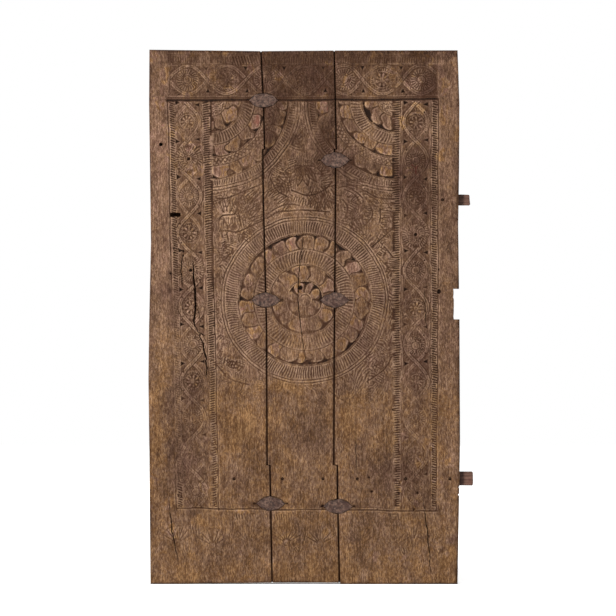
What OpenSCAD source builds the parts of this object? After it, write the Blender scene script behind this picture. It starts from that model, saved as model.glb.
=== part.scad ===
// Carved temple door leaf: three upright planks, lapped at two stepped seams, held by two pinned tie
// bars inside their thickness and by six forged cramps let into the carved face.
// Millimetres. +Z is up and the carved face looks along -Y. The origin is under the middle of the
// whole leaf, bar ends included, at the level of the bottom edge.

/* [Leaf] */
// Width across the three planks
leaf_w = 1000; // [920:10:1200]
// Height of the leaf
leaf_h = 1715; // [1420:5:2060]
// Thickness of the planks
leaf_t = 48; // [40:1:60]
// Width of the left plank at mid height
left_plank_w = 375; // [340:5:460]
// Width of the right plank at mid height
right_plank_w = 402; // [340:5:490]
// How far the worn bottom edge rises under the middle plank
bottom_wear = 5; // [0:1:8]

/* [Seams] */
// Open width of a seam
seam_gap = 4; // [2:0.5:6]
// Overlap of the back half of a plank behind its neighbour
lap_w = 14; // [8:1:22]
// Height of the lower step of both seams
lower_step_z = 382; // [340:1:480]
// How far the upper step of both seams lies below the top edge
upper_step_drop = 320; // [290:1:400]

/* [Tie bars] */
// Height of the lower bar's section
lower_bar_h = 46; // [30:1:56]
// Height of the upper bar's section
upper_bar_h = 36; // [28:1:46]
// Thickness of both bars
bar_t = 22; // [14:1:24]
// Height of the lower bar's centre line
lower_bar_z = 338; // [300:1:350]
// How far the upper bar's centre line lies below the top edge
upper_bar_drop = 482; // [440:1:520]
// How far the lower bar stands out of the right edge
lower_bar_out = 43; // [10:1:60]
// How far the upper bar stands out of the right edge
upper_bar_out = 34; // [10:1:43]
// How far the upper bar's end is cut out of square
upper_bar_slant = 3; // [0:0.5:6]
// Wood left between a bar's blind end and the left edge
bar_stop = 60; // [40:5:150]
// Clearance round a bar in its mortise
bar_clear = 0.4; // [0.2:0.1:0.8]
// Chamfer on the ends of the bars
bar_chamfer = 4; // [1:0.5:8]

/* [Pins] */
// Diameter of the wooden pins
pin_d = 9; // [6:0.5:12]
// How far a pin's worn end lies below the face
pin_sunk = 5; // [1:0.5:8]
// Radial clearance of a pin in its hole
pin_clear = 0.1; // [0.05:0.05:0.3]
// Wood left in front of a pin driven from the back
pin_stop = 9; // [6:1:12]

/* [Cramps] */
// Length of a cramp, tip to tip
cramp_l = 92; // [70:2:120]
// Width of a cramp at its waist
cramp_w = 47; // [30:1:60]
// Thickness of a cramp's plate
cramp_t = 5; // [3:0.5:8]
// How far a cramp stands proud of the face
cramp_proud = 1.5; // [0.5:0.5:2.5]
// Length of the spikes under a cramp's tips
cramp_spike_l = 26; // [16:1:30]
// Width of a spike
cramp_spike_w = 8; // [5:0.5:10]
// Thickness of a spike
cramp_spike_t = 5; // [3:0.5:7]
// Clearance round a cramp in its recess
cramp_clear = 0.4; // [0.2:0.1:0.8]
// Length of the chiselled pocket beyond a tip
tip_pocket_l = 13; // [6:1:18]
// Height of the lower cramp on the left seam
left_cramp_low_z = 259; // [200:1:280]
// Height of the lower cramp on the right seam
right_cramp_low_z = 250; // [200:1:280]
// How far the upper cramp on the left seam lies below the top edge
left_cramp_top_drop = 163; // [120:1:260]
// How far the upper cramp on the right seam lies below the top edge
right_cramp_top_drop = 355; // [350:1:420]

/* [Openings] */
// Depth of the notch in the right edge
notch_d = 21; // [12:1:40]
// Height of the notch in the right edge
notch_h = 98; // [70:1:130]
// How far the notch's lower end lies above the middle between the two bars
notch_rise = 64; // [0:1:150]
// Length of the slot in the left plank
slot_l = 35; // [20:1:50]
// Height of the slot
slot_h = 14; // [9:1:20]
// Depth of the slot
slot_d = 34; // [15:1:36]
// Distance of the slot from the left edge
slot_x = 69; // [50:1:100]
// How far the slot's centre line lies below the top edge
slot_drop = 530; // [520:1:600]
// Diameter of the peg hole near the left edge
peg_hole_d = 12; // [8:1:16]
// Depth of the peg hole
peg_hole_deep = 30; // [15:1:36]
// Distance of the peg hole from the left edge
peg_hole_x = 40; // [30:1:60]
// How far the peg hole lies below the top edge
peg_hole_drop = 304; // [260:1:400]

/* [Carving] */
// Depth of the ruled lines
line_d = 2.5; // [1:0.5:4]
// Width of the ruled lines
line_w = 5; // [3:0.5:8]
// Depth of the chip-carved notches
chip_d = 4.5; // [2:0.5:7]
// Plain margin at the left edge, at the top
margin_left = 62; // [50:1:80]
// Plain margin at the right edge
margin_right = 74; // [60:1:90]
// Width of an upright band of scrolls
band_w = 136; // [110:1:150]
// How far the left band leans in from top to bottom
band_lean = 28; // [0:1:34]
// Height from the top edge to the field's upper line
frieze_top_h = 160; // [130:1:180]
// Height of the field's lower line
frieze_low_z = 240; // [200:1:260]
// Outer radius of the middle medallion
medal_r = 269; // [200:1:280]
// How far the middle medallion's centre lies above the middle of the field
medal_rise = 14; // [-40:1:40]
// Outer radius of the corner medallions
corner_r = 294; // [180:1:300]
// Outer radius of a rosette
rosette_r = 43; // [30:1:46]

/* [Hidden] */
$fn = 64;

over = 1; // how far a cutter runs past the face that it cuts
margin = 50; // room kept round the leaf when its planks are laid out
step_gap = seam_gap / 2;
left_x = -(leaf_w + lower_bar_out) / 2;
right_x = left_x + leaf_w;
front_y = (cramp_proud - leaf_t) / 2;
back_y = front_y + leaf_t;
lap_y = front_y + leaf_t / 2;
seam_1_x = left_x + left_plank_w;
seam_2_x = right_x - right_plank_w;
bar_mid_y = front_y + leaf_t / 2;
cramp_bed = cramp_t - cramp_proud;
upper_step_z = leaf_h - upper_step_drop;
upper_bar_z = leaf_h - upper_bar_drop;
notch_z = (lower_bar_z + upper_bar_z) / 2 + notch_rise;
slot_z = leaf_h - slot_drop;
peg_hole_z = leaf_h - peg_hole_drop;

// Edges as [share of the height, how far the worn edge lies inside the full width]
left_edge = [[0, 6], [0.25, 3], [0.38, 0], [0.48, 2], [0.64, 8], [0.9, 2], [1, 3]];
right_edge = [[0, 8], [0.16, 3], [0.27, 0], [0.5, 2], [0.67, 6], [0.78, 3], [0.9, 2], [1, 8]];
top_wear = [[0, 0], [0.36, 5], [0.6, 3], [1, 2]];

// Seams from the bottom up, as [height, how far the seam lies to the right of its middle place];
// two points at one height are a step
seam_1 = [
    [0, 22], [0.74 * lower_step_z, 17], [lower_step_z, 15], [lower_step_z, 6],
    [0.6 * upper_step_z, 4], [0.88 * upper_step_z, -6], [upper_step_z, -8], [upper_step_z, -2],
    [upper_step_z + upper_step_drop / 2, -6], [leaf_h, -14]
];
seam_2 = [
    [0, 15], [0.74 * lower_step_z, 9], [lower_step_z, 8], [lower_step_z, -3],
    [0.5 * upper_step_z, -2], [0.95 * upper_step_z, 3], [upper_step_z, -1], [upper_step_z, 5],
    [upper_step_z + upper_step_drop / 2, 2], [leaf_h, -2]
];

// How far a seam lies to the right of its middle place at a height
function seam_shift(seam, z, i = 0) =
    i + 1 >= len(seam) - 1 || z <= seam[i + 1][0]
        ? (let(a = seam[i], b = seam[i + 1])
            a[1] + (b[1] - a[1]) * (z - a[0]) / max(b[0] - a[0], 0.001))
        : seam_shift(seam, z, i + 1);

field_top = leaf_h - frieze_top_h;
band_left_top = left_x + margin_left;
band_left_low = band_left_top + band_lean;
field_left_top = band_left_top + band_w;
field_left_low = band_left_low + band_w;
band_right = right_x - margin_right;
field_right = band_right - band_w;
medal_x = (field_left_top + field_left_low) / 4 + field_right / 2;
medal_z = (frieze_low_z + field_top) / 2 + medal_rise;
rosette_n = 7;
rosette_pitch = (band_right - band_left_top - 2 * rosette_r) / (rosette_n - 0.7);
band_rosette_n = 11;
band_pitch = (field_top - frieze_low_z) / (band_rosette_n - 0.1);

// ---- Cutters, drawn on the front plane with x across and y up ----

// Pushes a flat shape into the carved face to a depth
module into_face(depth) {
    translate([0, front_y + depth, 0]) rotate([90, 0, 0]) linear_extrude(depth + over) children();
}

// V-shaped line from one point of the face to another
module ruled_line(from, to) {
    run = to - from;
    translate([from[0], front_y, from[1]])
        rotate([0, -atan2(run[1], run[0]), 0])
            rotate([90, 0, 90])
                linear_extrude(norm(run))
                    polygon([[-over, -line_w / 2], [0, -line_w / 2], [line_d, 0], [0, line_w / 2],
                        [-over, line_w / 2]]);
}

// V-shaped ring on the face, from one angle on by another
module ring_line(centre, r, from = 0, turn = 360) {
    translate([centre[0], front_y, centre[1]])
        rotate([90, 0, 0])
            rotate([0, 0, from])
                rotate_extrude(angle = turn)
                    polygon([[r - line_w / 2, over], [r + line_w / 2, over], [r + line_w / 2, 0],
                        [r, -line_d], [r - line_w / 2, 0]]);
}

// Chip notches between the petals of a ring, pointing inwards
module petal_chips(centre, r_base, r_tip, count, from = 0, turn = 360) {
    step = turn / count;
    half = r_base * tan(step / 2) * 0.62;
    for (i = [0 : count - 1])
        into_face(chip_d)
            translate(centre) rotate(from + (i + 0.5) * step)
                polygon([[r_base, -half], [r_base, half], [r_tip, 0]]);
}

module rosette(centre) {
    ring_line(centre, rosette_r);
    ring_line(centre, rosette_r * 0.62);
}

// ---- Carving ----

module frame_lines() {
    ruled_line([band_left_top, field_top], [band_right, field_top]);
    ruled_line([band_left_low, frieze_low_z], [band_right, frieze_low_z]);
    ruled_line([band_left_low, frieze_low_z], [band_left_top, field_top]);
    ruled_line([field_left_low, frieze_low_z], [field_left_top, field_top]);
    ruled_line([field_right, frieze_low_z], [field_right, field_top]);
    ruled_line([band_right, frieze_low_z], [band_right, field_top]);
}

module middle_medallion() {
    centre = [medal_x, medal_z];
    for (share = [0.24, 0.42, 0.595, 0.785, 0.95])
        ring_line(centre, medal_r * share);
    petal_chips(centre, medal_r * 0.585, medal_r * 0.47, 12);
    petal_chips(centre, medal_r * 0.775, medal_r * 0.66, 24);
}

module corner_medallion(centre, from) {
    for (share = [0.2, 0.35, 0.49, 0.62, 0.73, 0.86, 0.96])
        ring_line(centre, corner_r * share, from, 90);
    petal_chips(centre, corner_r * 0.34, corner_r * 0.23, 4, from, 90);
    petal_chips(centre, corner_r * 0.61, corner_r * 0.51, 7, from, 90);
    petal_chips(centre, corner_r * 0.85, corner_r * 0.75, 10, from, 90);
}

module top_rosettes() {
    for (i = [0 : rosette_n - 1])
        rosette([band_left_top + rosette_r * 1.5 + i * rosette_pitch, leaf_h - 0.58 * frieze_top_h]);
}

module left_rosettes() {
    for (i = [0 : band_rosette_n - 1]) {
        z = field_top - (i + 0.65) * band_pitch;
        lean = band_lean * (field_top - z) / (field_top - frieze_low_z);
        rosette([band_left_top + lean + band_w / 2, z]);
    }
}

module right_rosettes() {
    for (i = [0 : band_rosette_n - 1])
        rosette([band_right - band_w / 2 + 4, field_top - (i + 0.65) * band_pitch]);
}

// ---- Cuts for what the planks hold ----

module mortise(z, h) {
    translate([left_x + bar_stop, bar_mid_y - bar_t / 2 - bar_clear, z - h / 2 - bar_clear])
        cube([leaf_w - bar_stop + over, bar_t + 2 * bar_clear, h + 2 * bar_clear]);
}

module mortises() {
    mortise(upper_bar_z, upper_bar_h);
    mortise(lower_bar_z, lower_bar_h);
}

// Centres of the pins along each bar, in shares of the width across the planks; the lower bar's
// pins were driven from the carved face, and so was the last of the upper bar's
lower_pins = [0.275, 0.43, 0.56, 0.67, 0.825, 0.967];
upper_pins = [0.275, 0.48, 0.943];

// One pin hole or pin: grow is added to its radius, and both ends are given as depths
module pin_rod(share, z, grow, from_depth, to_depth) {
    translate([left_x + share * leaf_w, front_y + from_depth, z])
        rotate([-90, 0, 0]) cylinder(r = pin_d / 2 + grow, h = to_depth - from_depth);
}

module pin_holes() {
    for (share = lower_pins)
        pin_rod(share, lower_bar_z, pin_clear, -over, leaf_t + over);
    for (i = [0 : 1])
        pin_rod(upper_pins[i], upper_bar_z, pin_clear, pin_stop, leaf_t + over);
    pin_rod(upper_pins[2], upper_bar_z, pin_clear, -over, leaf_t + over);
}

// Almond outline of a cramp's plate, two arcs that meet at the tips
module almond(grow) {
    half_l = cramp_l / 2 + grow;
    half_w = cramp_w / 2 + grow;
    r = (half_l * half_l + half_w * half_w) / (2 * half_w);
    intersection() {
        translate([0, half_w - r]) circle(r, $fn = 180);
        translate([0, r - half_w]) circle(r, $fn = 180);
    }
}

spike_x = cramp_l / 2 - cramp_spike_w * 1.6; // centre of a spike, from the middle of the cramp

module spikes(grow) {
    for (side = [-1, 1])
        translate([side * spike_x, 0, 0])
            translate([0, front_y + cramp_bed - over / 2, -cramp_spike_t / 2 - grow])
                linear_extrude(cramp_spike_t + 2 * grow)
                    polygon([
                        [-cramp_spike_w / 2 - grow, 0],
                        [cramp_spike_w / 2 + grow, 0],
                        [cramp_spike_w / 2 + grow, cramp_spike_l * 0.6],
                        [0, cramp_spike_l + grow],
                        [-cramp_spike_w / 2 - grow, cramp_spike_l * 0.6]
                    ]);
}

// Heights of the cramps on each seam, from the bottom up
cramp_left_z = [left_cramp_low_z, medal_z, leaf_h - left_cramp_top_drop];
cramp_right_z = [right_cramp_low_z, medal_z, leaf_h - right_cramp_top_drop];

function cramp_place(seam, seam_x, z) = [seam_x + seam_shift(seam, z), 0, z];
cramp_left = [for (z = cramp_left_z) cramp_place(seam_1, seam_1_x, z)];
cramp_right = [for (z = cramp_right_z) cramp_place(seam_2, seam_2_x, z)];

module cramp_beds() {
    for (place = cramp_left) cramp_bed_at(place);
    for (place = cramp_right) cramp_bed_at(place);
}

module cramp_bed_at(place) {
    translate(place) {
        into_face(cramp_bed) almond(cramp_clear);
        spikes(cramp_clear);
        for (side = [0, 180])
            into_face(chip_d + 2)
                rotate(side)
                    polygon([[cramp_l / 2 - 4, -2], [cramp_l / 2 + tip_pocket_l, -5],
                        [cramp_l / 2 + tip_pocket_l, 5], [cramp_l / 2 - 4, 2]]);
    }
}

module edge_notch() {
    translate([right_x - notch_d, front_y - over, notch_z])
        cube([notch_d + over, leaf_t + 2 * over, notch_h]);
}

// Ragged chips on the right edge, as [share of the height, depth, length]
module edge_chips() {
    for (chip = [[0.167, 7, 16], [0.181, 5, 10]])
        translate([right_x, front_y - over, chip[0] * leaf_h])
            rotate([-90, 0, 0])
                linear_extrude(leaf_t + 2 * over)
                    polygon([[over, -chip[2] / 2], [-chip[1], 0], [over, chip[2] / 2]]);
}

module slot_and_peg_hole() {
    into_face(slot_d)
        translate([left_x + slot_x, slot_z - slot_h / 2]) square([slot_l, slot_h]);
    translate([left_x + peg_hole_x, front_y - over, peg_hole_z])
        rotate([-90, 0, 0]) cylinder(d = peg_hole_d, h = peg_hole_deep + over);
}

// A drying crack: a thin wedge-ended cut along a few points, as [x, z] from the leaf's lower left
module crack(points, width, depth) {
    last = len(points) - 1;
    function half(i) = width / 2 * sin(180 * (i + 0.15) / (last + 0.3));
    into_face(depth)
        translate([left_x, 0])
            polygon(concat(
                [for (i = [0 : last]) [points[i][0] - half(i), points[i][1]]],
                [for (i = [last : -1 : 0]) [points[i][0] + half(i), points[i][1]]]
            ));
}

module cracks_left() {
    crack([[187, 660], [186, 705], [174, 768], [160, 815], [155, 850], [148, 915], [142, 1030]], 8, 20);
    crack([[97, 64], [76, 170], [66, 270]], 4, 12);
    crack([[112, 945], [104, 1000], [110, 1065]], 6, 10);
}

module cracks_middle() {
    crack([[506, 700], [500, 752], [485, 850], [479, 960], [488, 1034], [499, 1150]], 4, 14);
}

module cracks_right() {
    crack([[907, 32], [894, 176], [880, 282]], 4, 14);
    crack([[670, 333], [666, 420], [664, 495]], 3, 8);
    crack([[891, 815], [888, 890], [885, 955]], 3, 8);
}

// ---- The planks ----

// The leaf's whole outline, with worn edges
module leaf_outline() {
    polygon(concat(
        [for (p = left_edge) [left_x + p[1], p[0] * leaf_h - (p[0] == 1 ? top_wear[0][1] : 0)]],
        [for (i = [1 : 2]) [left_x + top_wear[i][0] * leaf_w, leaf_h - top_wear[i][1]]],
        [for (i = [len(right_edge) - 1 : -1 : 0])
            [right_x - right_edge[i][1], right_edge[i][0] * leaf_h]],
        [[seam_2_x + 18, 0], [seam_2_x + 12, bottom_wear], [seam_1_x + 20, bottom_wear]]
    ));
}

// Which way a seam turns at a point of a step: 1 if the step goes left on the way up, -1 if right
function step_turn(seam, i) =
    i > 0 && seam[i][0] == seam[i - 1][0] ? sign(seam[i - 1][1] - seam[i][1])
        : i + 1 < len(seam) && seam[i][0] == seam[i + 1][0] ? sign(seam[i][1] - seam[i + 1][1])
        : 0;

// One side of the open joint along a seam, from below the leaf to above it: side is -1 for the
// plank on the left and 1 for the one on the right
function seam_side(seam, seam_x, shift, side) =
    let(
        x = [for (p = seam) seam_x + p[1] + shift + side * seam_gap / 2],
        last = len(seam) - 1
    )
    concat(
        [[x[0], -margin]],
        [for (i = [0 : last]) [x[i], seam[i][0] + side * step_gap / 2 * step_turn(seam, i)]],
        [[x[last], leaf_h + margin]]
    );

function reversed(path) = [for (i = [len(path) - 1 : -1 : 0]) path[i]];

// The room that one plank takes in one layer; shift moves the seams across for the lap
function plank_room(which, shift) =
    which == 1 ? concat(
            [[left_x - margin, leaf_h + margin], [left_x - margin, -margin]],
            seam_side(seam_1, seam_1_x, shift, -1))
        : which == 2 ? concat(
            seam_side(seam_1, seam_1_x, shift, 1),
            reversed(seam_side(seam_2, seam_2_x, shift, -1)))
        : concat(
            seam_side(seam_2, seam_2_x, shift, 1),
            [[right_x + margin, leaf_h + margin], [right_x + margin, -margin]]);

module plank_layer(which, shift) {
    intersection() {
        leaf_outline();
        polygon(plank_room(which, shift));
    }
}

module plank_blank(which) {
    translate([0, lap_y, 0]) rotate([90, 0, 0]) linear_extrude(leaf_t / 2) plank_layer(which, 0);
    translate([0, back_y, 0]) rotate([90, 0, 0]) linear_extrude(leaf_t / 2) plank_layer(which, lap_w);
}

module plank_left() {
    color([0.43, 0.34, 0.26])
        difference() {
            plank_blank(1);
            mortises();
            pin_holes();
            cramp_beds();
            slot_and_peg_hole();
            cracks_left();
            frame_lines();
            middle_medallion();
            corner_medallion([field_left_top, field_top], -90);
            corner_medallion([field_left_low, frieze_low_z], 0);
            top_rosettes();
            left_rosettes();
        }
}

module plank_middle() {
    color([0.44, 0.34, 0.25])
        difference() {
            plank_blank(2);
            mortises();
            pin_holes();
            cramp_beds();
            cracks_middle();
            frame_lines();
            middle_medallion();
            corner_medallion([field_left_top, field_top], -90);
            corner_medallion([field_left_low, frieze_low_z], 0);
            corner_medallion([field_right, field_top], 180);
            corner_medallion([field_right, frieze_low_z], 90);
            top_rosettes();
        }
}

module plank_right() {
    color([0.42, 0.33, 0.25])
        difference() {
            plank_blank(3);
            mortises();
            pin_holes();
            cramp_beds();
            edge_notch();
            edge_chips();
            cracks_right();
            frame_lines();
            middle_medallion();
            corner_medallion([field_right, field_top], 180);
            corner_medallion([field_right, frieze_low_z], 90);
            top_rosettes();
            right_rosettes();
        }
}

// ---- Bars, pins and cramps ----

// A tie bar with its own pin holes; the upper corner of its outer end is cut back by slant
module tie_bar(z, h, out, slant, pins) {
    near = left_x + bar_stop + bar_clear;
    far = right_x + out;
    color([0.36, 0.24, 0.18])
        difference() {
            translate([0, bar_mid_y + bar_t / 2, z])
                rotate([90, 0, 0])
                    linear_extrude(bar_t)
                        polygon([
                            [near, -h / 2], [far - bar_chamfer, -h / 2],
                            [far, bar_chamfer - h / 2], [far - slant, h / 2 - bar_chamfer],
                            [far - slant - bar_chamfer, h / 2], [near, h / 2]
                        ]);
            for (share = pins)
                pin_rod(share, z, pin_clear, 0, leaf_t);
        }
}

module tie_bar_upper() {
    tie_bar(upper_bar_z, upper_bar_h, upper_bar_out, upper_bar_slant, upper_pins);
}

module tie_bar_lower() {
    tie_bar(lower_bar_z, lower_bar_h, lower_bar_out, 0, lower_pins);
}

// A pin that runs right through from the carved face, worn a little below it
module through_pin(share, z) {
    color([0.22, 0.17, 0.13]) pin_rod(share, z, 0, pin_sunk, leaf_t);
}

// A pin driven from the back, stopped short of the carved face
module back_pin(share, z) {
    color([0.22, 0.17, 0.13]) pin_rod(share, z, 0, pin_stop + 0.3, leaf_t);
}

// One forged cramp: an almond plate with its two tips drawn out into spikes underneath
module cramp(place) {
    color([0.36, 0.31, 0.28])
        translate(place) {
            translate([0, front_y + cramp_bed, 0])
                rotate([90, 0, 0]) linear_extrude(cramp_t) almond(0);
            spikes(0);
        }
}

plank_left();
plank_middle();
plank_right();
tie_bar_upper();
tie_bar_lower();
back_pin(upper_pins[0], upper_bar_z);  // upper_bar_pin_1
back_pin(upper_pins[1], upper_bar_z);  // upper_bar_pin_2
through_pin(upper_pins[2], upper_bar_z);  // upper_bar_pin_3
through_pin(lower_pins[0], lower_bar_z);  // lower_bar_pin_1
through_pin(lower_pins[1], lower_bar_z);  // lower_bar_pin_2
through_pin(lower_pins[2], lower_bar_z);  // lower_bar_pin_3
through_pin(lower_pins[3], lower_bar_z);  // lower_bar_pin_4
through_pin(lower_pins[4], lower_bar_z);  // lower_bar_pin_5
through_pin(lower_pins[5], lower_bar_z);  // lower_bar_pin_6
cramp(cramp_left[2]);  // cramp_left_upper
cramp(cramp_left[1]);  // cramp_left_middle
cramp(cramp_left[0]);  // cramp_left_lower
cramp(cramp_right[2]);  // cramp_right_upper
cramp(cramp_right[1]);  // cramp_right_middle
cramp(cramp_right[0]);  // cramp_right_lower
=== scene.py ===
"""The carved door leaf: three carved planks, their iron cramps, tie bars and pins, in studio light."""

import math

import bpy
import numpy as np
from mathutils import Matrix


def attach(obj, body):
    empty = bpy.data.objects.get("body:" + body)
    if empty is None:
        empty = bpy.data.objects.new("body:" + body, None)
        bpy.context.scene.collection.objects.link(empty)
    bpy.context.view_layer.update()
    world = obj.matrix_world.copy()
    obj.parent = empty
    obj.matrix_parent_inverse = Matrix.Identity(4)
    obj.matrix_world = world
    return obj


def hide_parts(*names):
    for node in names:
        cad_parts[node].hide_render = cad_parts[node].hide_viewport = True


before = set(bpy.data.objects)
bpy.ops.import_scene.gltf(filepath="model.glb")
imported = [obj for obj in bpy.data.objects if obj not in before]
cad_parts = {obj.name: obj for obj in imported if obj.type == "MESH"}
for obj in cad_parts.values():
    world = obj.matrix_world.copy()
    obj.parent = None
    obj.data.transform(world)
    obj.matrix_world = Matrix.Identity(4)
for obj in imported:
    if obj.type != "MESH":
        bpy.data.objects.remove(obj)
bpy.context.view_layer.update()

# ---- The leaf's sizes, in millimetres ----

MM = 0.001
LEAF_W, LEAF_H, LEAF_T = 1000.0, 1715.0, 48.0
BAR_OUT = 43.0  # how far the longer tie bar stands out of the right edge
PROUD = 1.5  # how far a cramp stands proud of the face
FRONT = (PROUD - LEAF_T) / 2
BACK = FRONT + LEAF_T
MID = FRONT + LEAF_T / 2
LEFT = -(LEAF_W + BAR_OUT) / 2
RIGHT = LEFT + LEAF_W
SEAM_1, SEAM_2 = LEFT + 375, RIGHT - 402
SEAM_GAP, LAP = 4.0, 14.0
LOW_STEP, HIGH_STEP = 382.0, 1395.0  # heights where both seams step sideways
STEP_RISE = 0.3  # half the height in which a seam makes its step
FIELD_TOP, FIELD_LOW = 1555.0, 240.0
BAND_TOP, BAND_LEAN, BAND_W = LEFT + 62, 28.0, 136.0
BAND_RIGHT = RIGHT - 74
FIELD_RIGHT = BAND_RIGHT - BAND_W
MEDAL = (-20.5, 911.5)
FRIEZE_X, FRIEZE_Z, FRIEZE_PITCH = -395, 1618, 125.0
BAND_PITCH = 118.5
FIRST_FLOWER = FIELD_TOP - 0.62 * BAND_PITCH
RIGHT_MIDDLE = FIELD_RIGHT + 68
TICK_PITCH = 7.5
BAR_T = 22.0
BARS = {  # height on the leaf, how tall, how far out of the right edge, slant of the end
    "upper": (1233.0, 36.0, 34.0, 3.0),
    "lower": (338.0, 46.0, BAR_OUT, 0.0),
}
PINS = {  # shares of the leaf's width, and how many of them are driven from the back
    "lower": ((0.275, 0.43, 0.56, 0.67, 0.825, 0.967), 0),
    "upper": ((0.275, 0.48, 0.943), 2),
}
PIN_R = 4.5
CRAMP_L, CRAMP_W = 92.0, 47.0
SPIKE_X = CRAMP_L / 2 - 12.8  # how far a spike is from its cramp's middle


def through(points, at):
    """A broken line through (place, value) pairs, read at any places."""
    return np.interp(at, [p[0] for p in points], [p[1] for p in points])


def outer_left(z):
    return LEFT + through([(0, 6), (0.25, 3), (0.38, 0), (0.48, 2), (0.64, 8), (0.9, 2), (1, 3)], z / LEAF_H)


def outer_right(z):
    wane = [(0, 8), (0.16, 3), (0.27, 0), (0.5, 2), (0.67, 6), (0.78, 3), (0.9, 2), (1, 8)]
    return RIGHT - through(wane, z / LEAF_H)


def top_edge(x):
    return LEAF_H - through([(0, 0), (0.36, 5), (0.6, 3), (1, 2)], (x - LEFT) / LEAF_W)


def bottom_edge(x):
    return through([(LEFT, 0), (SEAM_1 + 20, 5), (SEAM_2 + 12, 5), (SEAM_2 + 18, 0), (RIGHT, 0)], x)


def seam(number, z, side):
    """Where a seam's face lies: side -1 is the plank on its left, 1 the one on its right."""
    if number == 1:
        base, bends, sway = SEAM_1, (837, 1228), (22, 17, 15, 6, 4, -6, -8, -2, -6, -14)
    else:
        base, bends, sway = SEAM_2, (697, 1325), (15, 9, 8, -3, -2, 3, -1, 5, 2, -2)
    low, high = LOW_STEP + side, HIGH_STEP - side
    heights = [0, 283, low - STEP_RISE, low + STEP_RISE, *bends, high - STEP_RISE, high + STEP_RISE]
    return base + np.interp(z, heights + [FIELD_TOP, LEAF_H], sway) + side * SEAM_GAP / 2


def band_left(z):
    return BAND_TOP + BAND_LEAN * (FIELD_TOP - z) / (FIELD_TOP - FIELD_LOW)


def left_middle(z):
    return band_left(z) + 62


def field_left(z):
    return band_left(z) + BAND_W


# ---- Smooth seeded noise ----


def cloud(x, z, size_x, size_z, seed):
    """Smooth noise from -1 to 1 whose bumps have about these sizes."""
    table = np.random.default_rng(seed).uniform(-1, 1, (128, 128))
    u, v = np.asarray(x) / size_x + 64, np.asarray(z) / size_z + 64
    i, j = np.floor(u).astype(int), np.floor(v).astype(int)
    fu, fv = u - i, v - j
    fu, fv = fu * fu * (3 - 2 * fu), fv * fv * (3 - 2 * fv)
    i0, i1, j0, j1 = i % 128, (i + 1) % 128, j % 128, (j + 1) % 128
    low = table[j0, i0] * (1 - fu) + table[j0, i1] * fu
    high = table[j1, i0] * (1 - fu) + table[j1, i1] * fu
    return low * (1 - fv) + high * fv


def ease(low, high, at):
    t = np.clip((at - low) / (high - low), 0, 1)
    return t * t * (3 - 2 * t)


def between(at, low, high):
    return (at > low) & (at < high)


def turned(degrees):
    """The cosine and the sine of an angle."""
    return math.cos(math.radians(degrees)), math.sin(math.radians(degrees))


# ---- The carving, pressed into a height map of the face with 1 mm cells ----

MARGIN = 6.0
X0, Z0 = LEFT - MARGIN, -MARGIN
NX, NZ = int(LEAF_W + 2 * MARGIN), int(LEAF_H + 2 * MARGIN)
GX, GZ = np.meshgrid(X0 + np.arange(NX), Z0 + np.arange(NZ))
WX = GX + 2.0 * cloud(GX, GZ, 80, 95, 1) + 1.0 * cloud(GX, GZ, 19, 24, 2)
WZ = GZ + 2.0 * cloud(GX, GZ, 90, 80, 3) + 1.0 * cloud(GX, GZ, 21, 18, 4)
carve = np.zeros((NZ, NX))  # cuts that wear can take
ruled = np.zeros((NZ, NX))  # ladders and lines, which stay crisp for longer
pits = np.zeros((NZ, NX))
ground = np.zeros((NZ, NX))  # 1 where the ground is cut back round the straps and flowers
tint = np.zeros((NZ, NX))  # how much paler or darker each petal is than its neighbours
luck = np.random.default_rng(11)
flowers = []  # each rosette's place, radius and seed


def soften(a, times):
    for _ in range(times):
        a = (np.roll(a, 1, 0) + 2 * a + np.roll(a, -1, 0)) / 4
        a = (np.roll(a, 1, 1) + 2 * a + np.roll(a, -1, 1)) / 4
    return a


def sample(a, x, z):
    """A height map read between its cells."""
    u, v = np.clip(x - X0, 0, NX - 1.001), np.clip(z - Z0, 0, NZ - 1.001)
    i, j = u.astype(int), v.astype(int)
    fu, fv = u - i, v - j
    low = a[j, i] * (1 - fu) + a[j, i + 1] * fu
    return low * (1 - fv) + (a[j + 1, i] * (1 - fu) + a[j + 1, i + 1] * fu) * fv


def window(x_low, x_high, z_low, z_high):
    """The cells of a rectangle and a few round it."""
    i0, i1 = max(int(x_low - X0) - 4, 0), min(int(x_high - X0) + 5, NX)
    j0, j1 = max(int(z_low - Z0) - 4, 0), min(int(z_high - Z0) + 5, NZ)
    return np.s_[j0:j1, i0:i1]


def around(x, z, reach):
    return window(x - reach, x + reach, z - reach, z + reach)


def press(where, depth, into=carve):
    into[where] = np.maximum(into[where], depth)


def line(points, width, depth, into=carve):
    """A V-cut along a broken line."""
    for (xa, za), (xb, zb) in zip(points, points[1:]):
        x_low, x_high = min(xa, xb) - width, max(xa, xb) + width
        where = window(x_low, x_high, min(za, zb) - width, max(za, zb) + width)
        px, pz = WX[where] - xa, WZ[where] - za
        lx, lz = xb - xa, zb - za
        t = np.clip((px * lx + pz * lz) / (lx * lx + lz * lz), 0, 1)
        away = np.hypot(px - t * lx, pz - t * lz)
        press(where, depth * np.clip(1 - 2 * away / width, 0, 1), into)


def bend(points):
    """More points along a smooth curve through the given ones."""
    p = np.array([points[0], *points, points[-1]], float)
    out = []
    for k in range(1, len(p) - 2):
        a, b, c, d = p[k - 1 : k + 3]
        square, cube = a - 2.5 * b + 2 * c - d / 2, 1.5 * (b - c) + (d - a) / 2
        out += [b + (c - a) * t / 2 + square * t**2 + cube * t**3 for t in (0, 0.25, 0.5, 0.75)]
    return [tuple(v) for v in out + [p[-1]]]


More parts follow.
